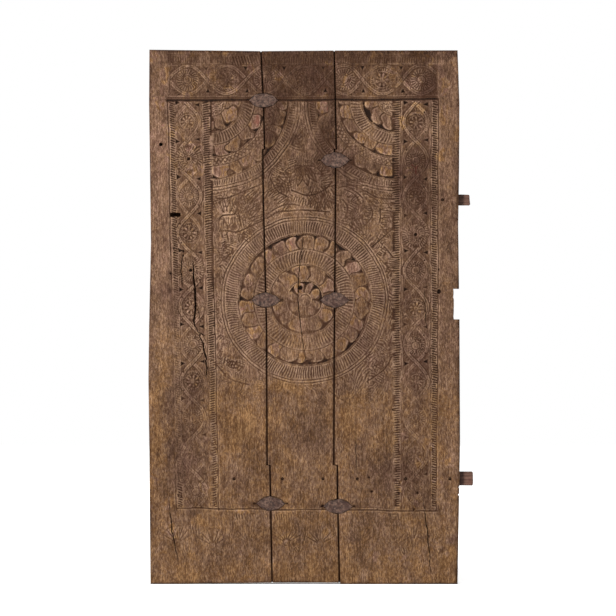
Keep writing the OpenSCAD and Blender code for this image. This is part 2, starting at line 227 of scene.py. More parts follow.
def chip(x, z, turn, length, width, depth):
    """A three-cornered chip-carved notch, wide at its base and pointed where it is turned to."""
    where = around(x, z, length)
    c, s = turned(turn)
    dx, dz = WX[where] - x, WZ[where] - z
    along, across = dx * c + dz * s + length / 2, -dx * s + dz * c
    side = (width / 2 * (1 - along / length) - np.abs(across)) * 0.93
    press(where, np.clip(np.minimum(along, side) * 1.25, 0, depth))


def pit(x, z, radius, depth):
    where = around(x, z, radius)
    away = np.hypot(WX[where] - x, WZ[where] - z)
    press(where, depth * ease(radius, radius * 0.55, away), pits)


def ticks(phase, share, depth, duty=0.92):
    """V-cut ticks where phase passes whole numbers; share runs from 0 to 1 across their strip."""
    near = np.abs(phase - np.round(phase)) * 2
    ends = np.clip(np.minimum(share, 1 - share) * 7, 0, 1)
    return depth * np.clip(1 - near / duty, 0, 1) * ends


def ladder(x_left, x_right, skew, depth, seed):
    """A ladder of ticks up the field, between two edges given as functions of height."""
    low, high = FIELD_LOW + 8, FIELD_TOP - 4
    edges = [edge(z) for edge in (x_left, x_right) for z in (low, high)]
    where = window(min(edges), max(edges), low, high)
    x, z = WX[where], WZ[where]
    share = (x - x_left(z)) / (x_right(z) - x_left(z)) + 0.12 * cloud(x, z, 200, 9, seed + 2)
    wander = 0.25 * cloud(x, z, 90, 23, seed) + 0.5 * cloud(x, z, 200, 130, seed + 1)
    inside = between(share, 0, 1) & between(z, low, high)
    tint[where] = np.where(inside, 0.1, tint[where])
    press(where, ticks(z / TICK_PITCH + skew * share + wander, share, depth) * inside, ruled)


def row(x_low, x_high, z_low, z_high, pitch, skew, depth, seed):
    """A ladder of upright ticks that runs across the face."""
    where = window(x_low, x_high, z_low, z_high)
    x, z = WX[where], WZ[where]
    share = (z - z_low) / (z_high - z_low) + 0.1 * cloud(x, z, 9, 200, seed + 1)
    phase = x / pitch + skew * share + 0.4 * cloud(x, z, 60, 200, seed)
    press(where, ticks(phase, share, depth) * between(share, 0, 1) * between(x, x_low, x_high))


def strand(upright, base, start, pitch, reach, low, high, depth):
    """One strand of the interlace: two lines with a fainter one between, winding from side to side."""
    ends = [base(low), base(high)]
    span = (min(ends) - abs(reach) - 12, max(ends) + abs(reach) + 12)
    where = window(*span, low, high) if upright else window(low, high, *span)
    along, across = (WZ[where], WX[where]) if upright else (WX[where], WZ[where])
    turn = math.pi * (along - start) / pitch
    slope = reach * math.pi / pitch * np.sin(turn)
    away = np.abs((across - base(along) - reach * np.cos(turn)) / np.sqrt(1 + slope**2))
    inside = between(along, low, high)
    lines = np.clip(1 - np.abs(away - 6.4) / 2.1, 0, 1) * depth
    middle = np.clip(1 - away / 1.6, 0, 1) * depth * 0.55
    ground[where] *= 1 - np.clip((8 - away) / 2, 0, 1) * inside
    press(where, np.maximum(lines, middle) * inside)


def petal_ring(turn, share, r, thick, count, power, seed):
    """Domed petals in hollowed ground: how deep each spot is, and how far outside a petal."""
    number = np.round(turn)
    own = np.sin(number * 12.9898 + seed) * 0.5
    t = np.clip(share * (1.06 + 0.26 * own), 0, 1)
    half = 0.5 * (1 - t**power) ** (1 / power)
    gap = (np.abs(turn - number) - half) * 2 * math.pi * r / count
    hollow = np.clip(np.minimum(gap, (1 - share) * thick + 1.5) * 1.1, 0, 3.4)
    outline = 2.5 * np.clip(1 - np.abs(gap + 0.6) / 2.8, 0, 1)
    dome = 0.9 * np.clip(1 + gap / 7, 0, 1) ** 2 + 0.35 * (1 - share) * (gap < 0)
    return np.maximum.reduce([hollow, outline, dome]), gap


def rings(centre, parts, seed, allowed=None):
    """Rings of cuts round a centre, each (kind, inner radius, outer radius, count or depth)."""
    where = around(*centre, max(p[2] for p in parts) + 4)
    dx, dz = WX[where] - centre[0], WZ[where] - centre[1]
    a = np.arctan2(dz, dx) / (2 * math.pi)
    r = np.hypot(dx, dz) * (1 + 0.006 * cloud(dx, dz, 80, 80, seed + 50))
    total = np.zeros_like(r)
    for k, (kind, inner, outer, count) in enumerate(parts):
        share = (r - inner) / (outer - inner)
        inside = between(share, 0, 1)
        wander = cloud(dx, dz, 26, 26, seed + k)
        if kind == "line":
            depth = count * np.clip(1 - 2 * np.abs(share - 0.5), 0, 1)
        elif kind == "ticks":
            lean = 0.5 + 0.8 * cloud(dx, dz, 55, 55, seed + k + 9)
            depth = ticks(a * count + lean * share + 0.3 * wander, share, 2.3)
            tint[where] = np.where(inside, -0.1, tint[where])
        elif kind == "weave":
            lean = 0.8 * (outer - inner) * count / (2 * math.pi * inner)
            one = ticks(a * count + lean * share + 0.2 * wander, share, 1.8, 0.5)
            two = ticks(a * count - lean * share - 0.2 * wander, share, 1.8, 0.5)
            depth = np.maximum(one, two)
        else:
            turn = a * count + 0.34 * wander + seed * 0.37 + k * 0.37
            power = 3.1 if kind == "petals" else 2.2
            depth, gap = petal_ring(turn, share, r, outer - inner, count, power, seed)
            shade = np.sin(np.round(turn) * 78.233 + seed * 1.7 + k) * 0.7 + 0.3
            tint[where] = np.where(inside & (gap < -0.5), shade, tint[where])
        total = np.maximum(total, depth * inside)
    press(where, total if allowed is None else total * allowed[where])


EYED, TICKED, PETALLED = range(3)


def rosette(x, z, radius, seed, kind):
    """A round flower: with a bored eye, with a ring of ticks, or with petals in a ticked ring."""
    x, z = x + luck.uniform(-2, 2), z + luck.uniform(-2.5, 2.5)
    where = around(x, z, radius)
    ground[where] *= np.hypot(WX[where] - x, WZ[where] - z) > radius
    if kind == EYED:
        pit(x, z, 7, 6)
        parts = [("line", 10, 14, 1.8), ("ticks", 14, 0.78 * radius, 19)]
        parts += [("line", 0.78 * radius, 0.88 * radius, 1.8), ("ticks", 0.88 * radius, radius + 12, 32)]
    elif kind == TICKED:
        parts = [("line", 11, 16, 2.0), ("ticks", 16, 0.93 * radius, 24)]
        parts += [("line", 0.93 * radius, radius, 2.2)]
    else:
        parts = [("line", 6, 10, 1.6), ("petals", 10, 0.62 * radius, 9)]
        parts += [("line", 0.62 * radius, 0.7 * radius, 1.6), ("ticks", 0.7 * radius, 0.93 * radius, 34)]
        parts += [("line", 0.93 * radius, radius, 1.6)]
    rings((x, z), parts, seed)
    flowers.append((x, z, radius, seed))


def leaf(x, z, turn, length, width):
    """A pointed leaf: two bowed outlines and a fainter rib."""
    c, s = turned(turn)
    for bow, depth in ((-0.5, 2.5), (0.0, 1.6), (0.5, 2.5)):
        points = []
        for t in np.linspace(0, 1, 9):
            u, v = (t - 0.5) * length, bow * width * math.sin(math.pi * t)
            points.append((x + u * c - v * s, z + u * s + v * c))
        line(points, 5.2, depth)


def comb(x, z, turn, length, height, count, depth=2.2):
    """A short run of parallel cuts, as a gouge leaves in the ground of the field."""
    c, s = turned(turn)
    for k in range(count):
        u = (k - (count - 1) / 2) * length / count
        lean = luck.uniform(-0.15, 0.15) * height
        tall = height * luck.uniform(0.75, 1.1) / 2
        ends = [(u - lean, -tall), (u + lean, tall)]
        line([(x + p * c - q * s, z + p * s + q * c) for p, q in ends], 4.6, depth * luck.uniform(0.7, 1.1))


# Frame lines; the groove under the frieze is the widest
line([(BAND_TOP - 1, FIELD_TOP - 3), (BAND_RIGHT, FIELD_TOP)], 15, 3.4, ruled)
line([(BAND_TOP - 1, FIELD_TOP + 5), (BAND_RIGHT, FIELD_TOP + 8)], 9, 1.9, ruled)
line([(band_left(FIELD_LOW), FIELD_LOW + 4), (BAND_RIGHT, FIELD_LOW - 6)], 5.0, 3.2, ruled)
outer_groove = [(band_left(FIELD_LOW), FIELD_LOW), (BAND_TOP + 10, 1000), (BAND_TOP + 8, 1180)]
line(outer_groove + [(BAND_TOP, FIELD_TOP)], 5.5, 2.5, ruled)
line([(BAND_RIGHT - 2, FIELD_LOW), (BAND_RIGHT + 4, 1000), (BAND_RIGHT + 3, FIELD_TOP)], 5, 2.4, ruled)
for x_low, x_top, width, depth, into in (
    (field_left(FIELD_LOW), field_left(FIELD_TOP), 5, 3.0, ruled),
    (FIELD_RIGHT - 3, FIELD_RIGHT - 5, 5.5, 2.6, ruled),
    (band_left(FIELD_LOW) + 25, BAND_TOP + 25, 3.4, 1.6, carve),
    (field_left(FIELD_LOW) - 21, field_left(FIELD_TOP) - 30, 3.4, 1.6, carve),
    (FIELD_RIGHT + 21, FIELD_RIGHT + 20, 3.8, 1.8, carve),
    (BAND_RIGHT - 21, BAND_RIGHT - 20, 3.8, 1.8, carve),
):
    line([(x_low, FIELD_LOW), (x_top, FIELD_TOP)], width, depth, into)
line([(BAND_TOP + 4, FIELD_TOP), (BAND_TOP + 10, 1700)], 3.6, 1.6)
line([(BAND_RIGHT + 2, 1690), (BAND_RIGHT, FIELD_TOP)], 3.6, 1.6)
line([(-455, 1668), (360, 1664)], 3.6, 1.8)
line([(-462, 1699), (365, 1696)], 3.6, 1.4)
line([(-450, 1566), (402, 1568)], 3.4, 1.4)
row(-458, -255, 1671, 1695, 7.6, 0.2, 1.8, 15)
row(-252, -140, 1662, 1696, 9.0, 1.1, 2.8, 16)
row(-125, 400, 1669, 1692, 7.6, -0.2, 1.9, 17)

# Ladders of ticks beside the band lines
ladder(lambda z: band_left(z) + 5, lambda z: band_left(z) + 22, 0.8, 3.3, 21)
ladder(lambda z: field_left(z) - 16 - 12 * z / LEAF_H, lambda z: field_left(z) - 3, -0.6, 3.1, 23)
ladder(lambda z: FIELD_RIGHT - 1, lambda z: FIELD_RIGHT + 17, -0.3, 3.4, 25)
ladder(lambda z: BAND_RIGHT - 17, lambda z: BAND_RIGHT, 0.5, 3.3, 27)

in_height = between(WZ, FIELD_LOW + 6, FIELD_TOP - 4)
ground[between(WX, BAND_TOP + 6, BAND_RIGHT) & between(WZ, FIELD_TOP + 12, 1665)] = 1
ground[between(WX, band_left(WZ) + 28, field_left(WZ) - 33) & in_height] = 1
ground[between(WX, FIELD_RIGHT + 25, BAND_RIGHT - 26) & in_height] = 1
ground[between(WX, -462, 400) & between(WZ, 1670, 1697)] = 0.5

# The top frieze: rosettes in the loops of an interlace, with notches between
for i in range(7):
    rosette(FRIEZE_X + i * FRIEZE_PITCH, FRIEZE_Z, 38, 40 + i, (TICKED, PETALLED)[i % 2])
for reach, depth in ((46, 2.2), (-46, 1.7)):
    strand(False, lambda x: FRIEZE_Z, FRIEZE_X, FRIEZE_PITCH, reach, BAND_TOP + 8, BAND_RIGHT - 4, depth)
for i in range(6):
    x = FRIEZE_X + (i + 0.5) * FRIEZE_PITCH
    chip(x - 2, 1653, 270, 19, 20, 5)
    chip(x + 3, 1584, 90, 18, 19, 5)

# The upright bands, in the same way
LEFT_KINDS = (PETALLED, EYED, TICKED, PETALLED, EYED, PETALLED, TICKED, PETALLED, TICKED, PETALLED, TICKED)
RIGHT_KINDS = (PETALLED, TICKED, PETALLED, EYED, TICKED) + (PETALLED, TICKED) * 3
for i, (left_kind, right_kind) in enumerate(zip(LEFT_KINDS, RIGHT_KINDS)):
    z = FIELD_TOP - (i + 0.62) * BAND_PITCH
    rosette(left_middle(z), z, 34, 60 + i, left_kind)
    rosette(RIGHT_MIDDLE, z - 3, 33, 80 + i, right_kind)
for i in range(len(LEFT_KINDS)):
    z = FIELD_TOP - (i + 0.12) * BAND_PITCH
    flip = (-1) ** i
    for x in (left_middle(z), RIGHT_MIDDLE):
        chip(x - 30, z + 3 * flip, 0, 20, 19, 5)
        chip(x + 30, z - 3 * flip, 180, 20, 18, 5)
        chip(x - 30 * flip, z + 27, 250, 11, 9, 3.6)
        chip(x + 28 * flip, z - 27, 70, 11, 9, 3.6)
for reach, depth in ((38, 2.3), (-38, 1.5)):
    for middle, side in ((left_middle, 1), (lambda z: RIGHT_MIDDLE, -1)):
        strand(True, middle, FIRST_FLOWER, BAND_PITCH, side * reach, FIELD_LOW + 6, FIELD_TOP - 6, depth)

open_ground = np.clip(soften(ground, 1) * 1.6 - 0.5, 0, 1)
for x, z, radius, seed in flowers:
    if seed % 3:
        rings((x, z), [("ticks", radius + 1, radius + 22, 34)], seed, open_ground)

# Medallions: a whole one in the middle and a quarter in each corner of the field
in_field = between(WX, field_left(WZ) + 3, FIELD_RIGHT - 2) & between(WZ, FIELD_LOW + 3, FIELD_TOP - 3)
MEDAL_PARTS = [
    ("line", 14, 19, 1.8), ("scales", 22, 58, 8), ("line", 59, 64, 1.8), ("petals", 64, 110, 11),
    ("line", 110, 115, 2.4), ("ticks", 115, 160, 100), ("line", 160, 165, 2.4), ("petals", 165, 209, 26),
    ("line", 209, 214, 2.2), ("ticks", 214, 255, 196), ("line", 255, 260, 2.4), ("line", 264, 269, 2.6),
]
CORNER_PARTS = [
    ("line", 16, 20, 1.6), ("weave", 22, 52, 22), ("line", 52, 57, 1.8), ("petals", 57, 104, 12),
    ("line", 104, 109, 2.2), ("ticks", 109, 143, 92), ("line", 143, 148, 2.2), ("petals", 148, 184, 22),
    ("line", 184, 189, 2.2), ("weave", 189, 211, 90), ("line", 211, 215, 2.2), ("petals", 215, 253, 32),
    ("line", 253, 258, 2.2), ("ticks", 258, 278, 200), ("line", 279, 284, 2.4), ("line", 289, 294, 2.6),
]
rings(MEDAL, MEDAL_PARTS, 100)
seed = 130
for cz in (FIELD_TOP, FIELD_LOW):
    for cx in (field_left(cz), FIELD_RIGHT):
        rings((cx, cz), CORNER_PARTS, seed, in_field)
        seed += 20

# Figures in the spandrels: bowed outlines with rows of feather cuts
CURVES = [
    [(-208, 1260), (-230, 1232), (-235, 1209), (-246, 1186), (-283, 1180), (-292, 1168)],
    [(-235, 1209), (-230, 1177), (-226, 1150)],
    [(-292, 1131), (-269, 1134), (-237, 1129), (-192, 1150), (-155, 1168)],
    [(-269, 1127), (-265, 1100)],
    [(-288, 1136), (-283, 1113)],
    [(-300, 1235), (-262, 1240), (-214, 1262), (-160, 1285)],
    [(-142, 1186), (-110, 1205), (-69, 1218), (-37, 1214)],
    [(-142, 1173), (-110, 1191), (-73, 1196), (-20, 1200), (60, 1196)],
    [(-128, 1300), (-108, 1262), (-70, 1240)],
    [(-60, 1262), (-10, 1246), (40, 1262), (66, 1290)],
    [(106, 1268), (134, 1255), (152, 1232), (158, 1222)],
    [(88, 1273), (115, 1276), (143, 1260), (165, 1240)],
    [(220, 1205), (223, 1180), (220, 1159)],
    [(196, 1081), (232, 1112), (262, 1141)],
    [(100, 1236), (118, 1210), (112, 1180)],
    [(176, 1262), (215, 1240), (262, 1236)],
    [(170, 1150), (196, 1180), (190, 1215)],
    [(240, 1080), (262, 1050)],
    [(-300, 700), (-262, 660), (-200, 640)],
    [(180, 650), (235, 690), (262, 740)],
    [(60, 620), (140, 570), (250, 560)],
]
for curve in CURVES:
    line(bend(curve), 7.5, 2.9)
for x, z, turn, length, tall, count in (
    (-192, 1209, -60, 100, 56, 14), (-192, 1250, -55, 50, 40, 7), (-270, 1215, 0, 44, 50, 6),
    (-262, 1157, 4, 44, 36, 6), (-200, 1128, 60, 60, 26, 8), (-100, 1240, -50, 90, 40, 12),
    (-20, 1225, -15, 90, 22, 12), (20, 1250, 30, 70, 30, 9), (-108, 1190, 25, 50, 14, 7),
    (40, 1215, 10, 60, 26, 8), (130, 1247, -45, 50, 26, 8), (196, 1205, 75, 80, 34, 11),
    (240, 1180, 88, 90, 26, 12), (130, 1200, 60, 60, 30, 8), (150, 1290, 80, 40, 60, 6),
    (240, 1120, 50, 60, 26, 8), (-90, 1300, 70, 60, 34, 8), (50, 1300, -70, 60, 34, 8),
):
    comb(x, z, turn, length, tall, count, 2.6)
for turn in (-64, -38, -13, 13, 38, 64):
    c, s = turned(turn)
    leaf(-26 + 38 * s, 1344 - 38 * c, turn - 90, 66, 20)

# The ground of the field is hatched with wavering gouge cuts, which change direction in patches
from_medal = np.hypot(GX - MEDAL[0], GZ - MEDAL[1])
away = from_medal - 272
for cx in (field_left(FIELD_TOP), FIELD_RIGHT):
    away = np.minimum(away, np.hypot(GX - cx, GZ - FIELD_TOP) - 297)
for k, (lean, rise) in enumerate(((0.5, 0.86), (0.86, -0.5), (0.97, 0.2))):
    bent = 2.6 * cloud(GX, GZ, 70, 70, 140 + k) + 1.2 * cloud(GX, GZ, 26, 26, 143 + k)
    patch = cloud(GX, GZ, 38, 44, 146 + k) + 0.5 * cloud(GX, GZ, 12, 12, 149 + k)
    hatch = ticks((lean * GX + rise * GZ) / 7.4 + bent, np.clip(0.5 + patch, 0, 1) * 0.5, 1.7)
    press(np.s_[:, :], hatch * in_field * (away > 0) * (patch > 0.3 - 0.05 * k) * (GZ > 460))
for _ in range(130):
    x, z = luck.uniform(-310, 265), luck.uniform(420, 1540)
    if sample(away, np.array(x), np.array(z)) > 0:
        turn, length, tall = luck.uniform(-75, 75), luck.uniform(18, 42), luck.uniform(10, 26)
        comb(x, z, turn, length, tall, int(luck.integers(3, 6)), 2.5)
for _ in range(70):
    comb(luck.uniform(-450, 395), luck.uniform(1570, 1660), luck.uniform(-90, 90), 20, 10, 3, 1.2)

# Knots, nail holes and worm holes
for x, z, radius, depth in (
    (195, 298, 6, 5), (341, 294, 6, 5), (38, 250, 6, 5), (412, 938, 9, 7), (186, 343, 5, 4),
    (-35, 950, 9, 8), (262, 560, 4, 4), (410, 1010, 4, 3), (-441, 1078, 4, 5), (-440, 1063, 4, 4),
    (-410, 1068, 5, 5), (-411, 1053, 4, 5), (-452, 996, 5, 5), (330, 240, 5, 4),
):
    pit(x, z, radius, depth)

# Fans and rows of ticks along the foot
for i in range(8):
    cx = -432 + i * 117.0 + luck.uniform(-6, 6)
    cz = 130 + luck.uniform(-8, 8)
    for turn in range(-60, 61, 20):
        c, s = turned(turn)
        line([(cx + 12 * s, cz + 12 * c), (cx + 52 * s, cz + 52 * c)], 5.5, 2.7)
    rings((cx, cz), [("line", 8, 12, 1.8), ("line", 54, 58, 1.6)], 210 + i)
    comb(cx + 58, 165, 0, 30, 44, 4, 3.2)
    comb(cx + 30, 108, 20, 34, 16, 5, 3.0)
row(-240, -60, 206, 228, 7.8, 0.5, 3.2, 45)
row(250, 400, 206, 228, 7.8, 0.5, 3.2, 46)

# Wear: the foot and the lower field are nearly smooth, and so are the middle plank's top and the
# medallion's lower half
high = ease(520, 700, GZ + 60 * cloud(GX, GZ, 160, 120, 30))
within = ease(-312, -296, GX) * ease(272, 260, GX) * ease(FIELD_LOW, FIELD_LOW + 10, GZ)
wear = high + (1 - high) * (0.6 - 0.46 * within)
wear *= 1 - 0.25 * ease(1330, 1440, GZ) * ease(-165, -135, GX) * ease(95, 60, GX)
wear *= 1 - 0.75 * np.exp(-(((GX + 30) / 85) ** 2) - ((GZ - 835) / 70) ** 2)
wear *= 1 - ease(240, 225, GZ) * (0.5 - 0.5 * ease(-0.3, 0.5, cloud(GX, GZ, 64, 46, 36)))
wear *= 1 - 0.3 * ease(930, 860, GZ) * within * ease(215, 200, from_medal)
wear *= 0.84 + 0.42 * cloud(GX, GZ, 45, 60, 31) + 0.26 * cloud(GX, GZ, 12, 24, 32)
wear = np.clip(wear, 0.08, 1.15)
carved = ease(BAND_TOP - 6, BAND_TOP + 14, GX) * ease(BAND_RIGHT + 8, BAND_RIGHT - 8, GX)
carved = carved * ease(70, 110, GZ) * ease(1708, 1696, GZ)
rough = np.clip(cloud(GX, GZ, 6.5, 9, 33) + 0.7 * cloud(GX, GZ, 3.6, 4.6, 34) - 0.2, 0, 1)
rough = rough * (0.35 + 0.65 * carved) * (0.55 + 0.45 * cloud(GX, GZ, 60, 80, 35))

# The left band's outer ladder is worn away along most of its lower half
faded = ease(1010, 900, GZ) * ease(300, 350, GZ) * ease(36, 28, GX - band_left(GZ))
crisp = np.clip(wear * 0.45 + 0.55, 0, 1) * (1 - 0.7 * faded)
carve = np.maximum(carve, soften(ground, 2) * (0.9 + 0.5 * rough))
cut, ladders = soften(carve, 1), soften(ruled, 1) * crisp
relief = np.maximum(cut * wear * 1.3, ladders * 1.2) + 0.5 * rough
# Raised spots beside the cuts are later painted paler: partly wear, partly painted highlight.
crest_wear_and_highlight = np.clip(soften(relief, 10) - relief, 0, 0.8)  # how far a spot stands above what is round it
relief = relief + soften(pits, 1)
mean_relief = soften(relief, 5)
worn_cut = np.minimum(cut, 2.2 + 2.4 * high) * wear**0.8
# Darkness for the cuts, ladders and pits: partly dirt, partly painted shade; the softened spread round them
# is painted shade.
dirt_and_shade = np.clip(worn_cut / 2.3, 0, 0.82) + 0.25 * ease(2.3, 3.4, worn_cut)
dirt_and_shade = np.maximum(dirt_and_shade, np.clip(ladders / 2.0, 0, 1.0)) + 0.25 * rough
dirt_and_shade = np.clip(0.95 * dirt_and_shade + 0.42 * soften(dirt_and_shade, 7) + pits / 4, 0, 1.5)
tint = soften(tint, 2) * np.clip(wear, 0, 1)


def face_depth(x, z):
    """How far the worn carved face lies behind the front plane."""
    swell = 0.45 + 0.35 * cloud(x, z, 110, 190, 50) + 0.2 * cloud(x, z, 31, 160, 51)
    fibre = 0.14 * cloud(x, z, 4.6, 120, 52) + 0.1 * cloud(x, z, 11, 210, 53)
    return np.clip(sample(relief, x, z) + swell + fibre, 0.05, 11)


STAINS = [  # x, z, reach across, reach up, tone (-1 dark to 1 pale), hue (-1 grey-violet to 1 golden)
    (20, 1640, 80, 80, -0.35, -0.2), (250, 1690, 190, 30, -0.5, 0.2), (-131, 1542, 55, 50, -0.55, -0.5),
    (82, 1350, 70, 60, -0.6, -0.7), (380, 1606, 26, 50, -1.1, -0.9), (335, 1300, 58, 88, -1.05, -1.1),
    (-86, 1077, 22, 22, 0.15, -1.2), (135, 1228, 30, 70, -0.6, -0.5), (-460, 1520, 26, 45, -0.5, -0.8),
    (-440, 945, 80, 30, -0.4, -0.8), (179, 1424, 70, 100, 0.4, 0.1), (-226, 1424, 75, 95, -0.16, -0.1),
    (-482, 1240, 34, 260, 0.45, -0.5), (-240, 1150, 85, 110, 0.55, -0.1), (-35, 1205, 110, 80, 0.35, 0.1),
    (-35, 985, 90, 65, 0.35, 0.2), (120, 1050, 120, 90, 0.05, 0.2), (443, 1180, 40, 260, -0.05, 0.1),
    (-89, 634, 100, 26, 0.25, 1.0), (-226, 528, 90, 70, 0.15, 0.8), (147, 560, 45, 70, 0.2, 0.9),
    (-408, 400, 65, 100, -0.55, -0.8), (-392, 614, 55, 65, -0.4, -0.7), (-13, 474, 70, 55, -0.3, -0.3),
    (230, 690, 70, 80, -0.6, -0.5), (348, 690, 55, 80, -0.4, -0.5), (306, 368, 100, 55, -0.5, -0.6),
    (370, 250, 45, 32, -0.6, -0.6), (-491, 560, 24, 330, -0.05, 0.9), (0, 30, 520, 50, 0.1, 0.6),
    (-30, 150, 420, 70, -0.12, 0.2), (440, 560, 45, 330, 0.12, 0.1), (-35, 154, 90, 40, -0.2, 0.0),
    (-300, 870, 90, 150, 0.25, 0.0), (-60, 700, 70, 90, 0.3, 0.3), (466, 136, 14, 14, -0.2, -2.4),
    (452, 352, 12, 9, -0.3, 0.3), (0, 1706, 520, 12, -0.3, 0.0), (-330, 1620, 130, 60, -0.2, 0.1),
    (-20, 780, 70, 60, 0.3, 0.4),
]


def cramp_places():
    """Each cramp's node, place and seam."""
    places = []
    for number, side, heights in ((1, "left", (259, 911.5, 1552)), (2, "right", (250, 911.5, 1360))):
        for level, z in zip(("lower", "middle", "upper"), heights):
            places.append((f"cramp_{side}_{level}", float(seam(number, z, 0)), z, number))
    return places


def stains_and_tip_shade_at(x, z):
    """Broad stains and small mottles of the wood, as its tone and its hue, with painted shade at the cramps'
    tips.
    """
    tone = 0.22 * cloud(x, z, 90, 130, 61) + 0.3 * cloud(x, z, 34, 60, 62) + 0.3 * cloud(x, z, 12, 22, 63)
    tone = tone + 0.16 * cloud(x, z, 6, 11, 68)
    hue = 0.3 * cloud(x, z, 80, 110, 64) + 0.42 * cloud(x, z, 28, 40, 65) + 0.4 * cloud(x, z, 9, 13, 66)
    hue = hue + 0.55 * ease(820, 520, z) - 0.12
    # The middle plank's top is the darkest, then the frame round the field
    middle = between(x, seam(1, z, 0), seam(2, z, 0))
    patchy = 1 + 0.7 * cloud(x, z, 34, 60, 67) + 0.4 * cloud(x, z, 13, 20, 81)
    beside = ease(110, 30, np.abs(x + 30) - 103)
    upper = ease(1230, 1370, z + 60 * cloud(x, z, 44, 70, 82))
    tone = tone - (0.42 * middle + 0.14 * beside) * patchy * upper
    tone = tone - 0.22 * ease(1556, 1568, z) * ease(-466, -452, x) * ease(414, 402, x)
    tone = tone - 0.15 * ease(1668, 1676, z) + 0.16 * (x < -462) - 0.12 - 0.14 * ease(700, 900, z)
    # Painted shade: the wood is darkened at each cramp's two tips, where its pockets are.
    for _, cx, cz, _ in cramp_places():
        tone = tone - 0.8 * np.exp(-(((np.abs(x - cx) - 52) / 12) ** 2) - ((z - cz) / 10) ** 2)
    x, z = x + 24 * cloud(x, z, 40, 50, 69), z + 24 * cloud(x, z, 40, 50, 80)
    for sx, sz, wide, tall, dark, gold in STAINS:
        near = np.exp(-(((x - sx) / wide) ** 2) - ((z - sz) / tall) ** 2)
        tone, hue = tone + dark * near, hue + gold * near
    return tone, hue


# ---- Meshes ----


def build_mesh(name, points, tris, quads, others=()):
    """A mesh from numpy points in millimetres and lists of faces."""
    mesh = bpy.data.meshes.new(name)
    loops = [np.asarray(tris, np.int32).ravel(), np.asarray(quads, np.int32).ravel()]
    loops += [np.asarray(face, np.int32) for face in others]
    sizes = [3] * len(tris) + [4] * len(quads) + [len(face) for face in others]
    flat = np.concatenate(loops)
    starts = np.concatenate([[0], np.cumsum(sizes)[:-1]]).astype(np.int32)
    mesh.vertices.add(len(points))
    mesh.vertices.foreach_set("co", (np.asarray(points, np.float64) * MM).astype(np.float32).ravel())
    mesh.loops.add(len(flat))
    mesh.loops.foreach_set("vertex_index", flat)
    mesh.polygons.add(len(starts))
    mesh.polygons.foreach_set("loop_start", starts)
    mesh.update(calc_edges=True)
    mesh.validate()
    return mesh


def add_object(name, mesh):
    piece = bpy.data.objects.new(name, mesh)
    bpy.context.scene.collection.objects.link(piece)
    return piece


def put(mesh, name, values):
    attribute = mesh.attributes.get(name) or mesh.attributes.new(name, "FLOAT", "POINT")
    attribute.data.foreach_set("value", np.asarray(values, np.float32))


def read_points(mesh):
    co = np.zeros(len(mesh.vertices) * 3, np.float32)
    mesh.vertices.foreach_get("co", co)
    return co.reshape(-1, 3).astype(float) / MM


def combine(piece, others, operation):
    """Cuts other solids out of a piece or joins them to it, and applies the result."""
    holder = bpy.data.collections.new("others")
    bpy.context.scene.collection.children.link(holder)
    for other in others:
        holder.objects.link(other)
    bpy.context.view_layer.update()
    for other in others:
        modifier = piece.modifiers.new("combine", "BOOLEAN")
        modifier.operation, modifier.solver, modifier.object = operation, "MANIFOLD", other
    graph = bpy.context.evaluated_depsgraph_get()
    result = bpy.data.meshes.new_from_object(piece.evaluated_get(graph))
    piece.modifiers.clear()
    old, piece.data = piece.data, result
    bpy.data.meshes.remove(old)
    for other in others:
        mesh = other.data
        bpy.data.objects.remove(other)
        bpy.data.meshes.remove(mesh)
    bpy.data.collections.remove(holder)


def spread(low, high, spacing):
    """Places from low to high whose spacing is a function of place."""
    places = [low]
    while places[-1] < high - 0.5 * spacing(high):
        places.append(places[-1] + spacing(places[-1]))
    places = np.array(places)
    return low + (places - low) * (high - low) / (places[-1] - low)


def row_places():
    """Heights of a plank's rows of points, a multiple of 4 apart, with a close pair at each step."""
    z = spread(0, LEAF_H, lambda v: 4.4 if v < 112 else 3.3 if v < 470 else 2.55)
    steps = [s + side for s in (LOW_STEP, HIGH_STEP) for side in (-1, 1)]
    special = [s + rise for s in steps for rise in (-STEP_RISE, STEP_RISE)]
    z = sorted([v for v in z if all(abs(v - s) > 1.0 for s in special)] + special)
    while (len(z) - 1) % 4:
        z.pop(5 + 4 * (len(z) % 4))
    return np.array(z)


ROWS = row_places()
LAP_REACH = 60  # how far from a lapped side the plank's back is drawn along with it


def snapped(x, z):
    """Points moved to the deepest or highest spot near them, so that cuts stay crisp."""
    gap_x, gap_z = np.gradient(x, axis=1), np.gradient(z, axis=0)
    best, move_x, move_z = np.zeros_like(x), np.zeros_like(x), np.zeros_like(x)
    shares = (-0.4, -0.2, 0, 0.2, 0.4)
    for sx in shares:
        for sz in shares:
            px, pz = x + sx * gap_x, z + sz * gap_z
            pull = np.abs(sample(relief, px, pz) - sample(mean_relief, px, pz)) - 0.04 * (abs(sx) + abs(sz))
            better = (pull > best) & (pull > 0.12)
            best = np.where(better, pull, best)
            move_x = np.where(better, sx * gap_x, move_x)
            move_z = np.where(better, sz * gap_z, move_z)
    free = np.abs(gap_z) >= 1.4  # not the close rows at a seam's step
    free[[0, -1]] = False
    free[:, [0, -1]] = False
    return x + move_x * free, z + move_z * free


def worn_arris(x, z, left, right, laps):
    """How far the face drops towards every edge of a plank."""
    to_left, to_right = x - left(z), right(z) - x
    to_edge = np.minimum.reduce([to_left, to_right, top_edge(x) - z, z - bottom_edge(x)])
    seamed = np.where(to_left < to_right, laps[0], laps[1])
    radius = np.where(seamed, 1.6, 4.2) + np.where(seamed, 1.0, 2.4) * cloud(x, z, 60, 34, 70)
    radius = np.clip(radius + 0.9 * cloud(x, z, 14, 11, 71), 0.8, 9)
    inside = np.clip(radius - np.clip(to_edge, 0, None), 0, None)
    return radius - np.sqrt(np.clip(radius**2 - inside**2, 0, None))


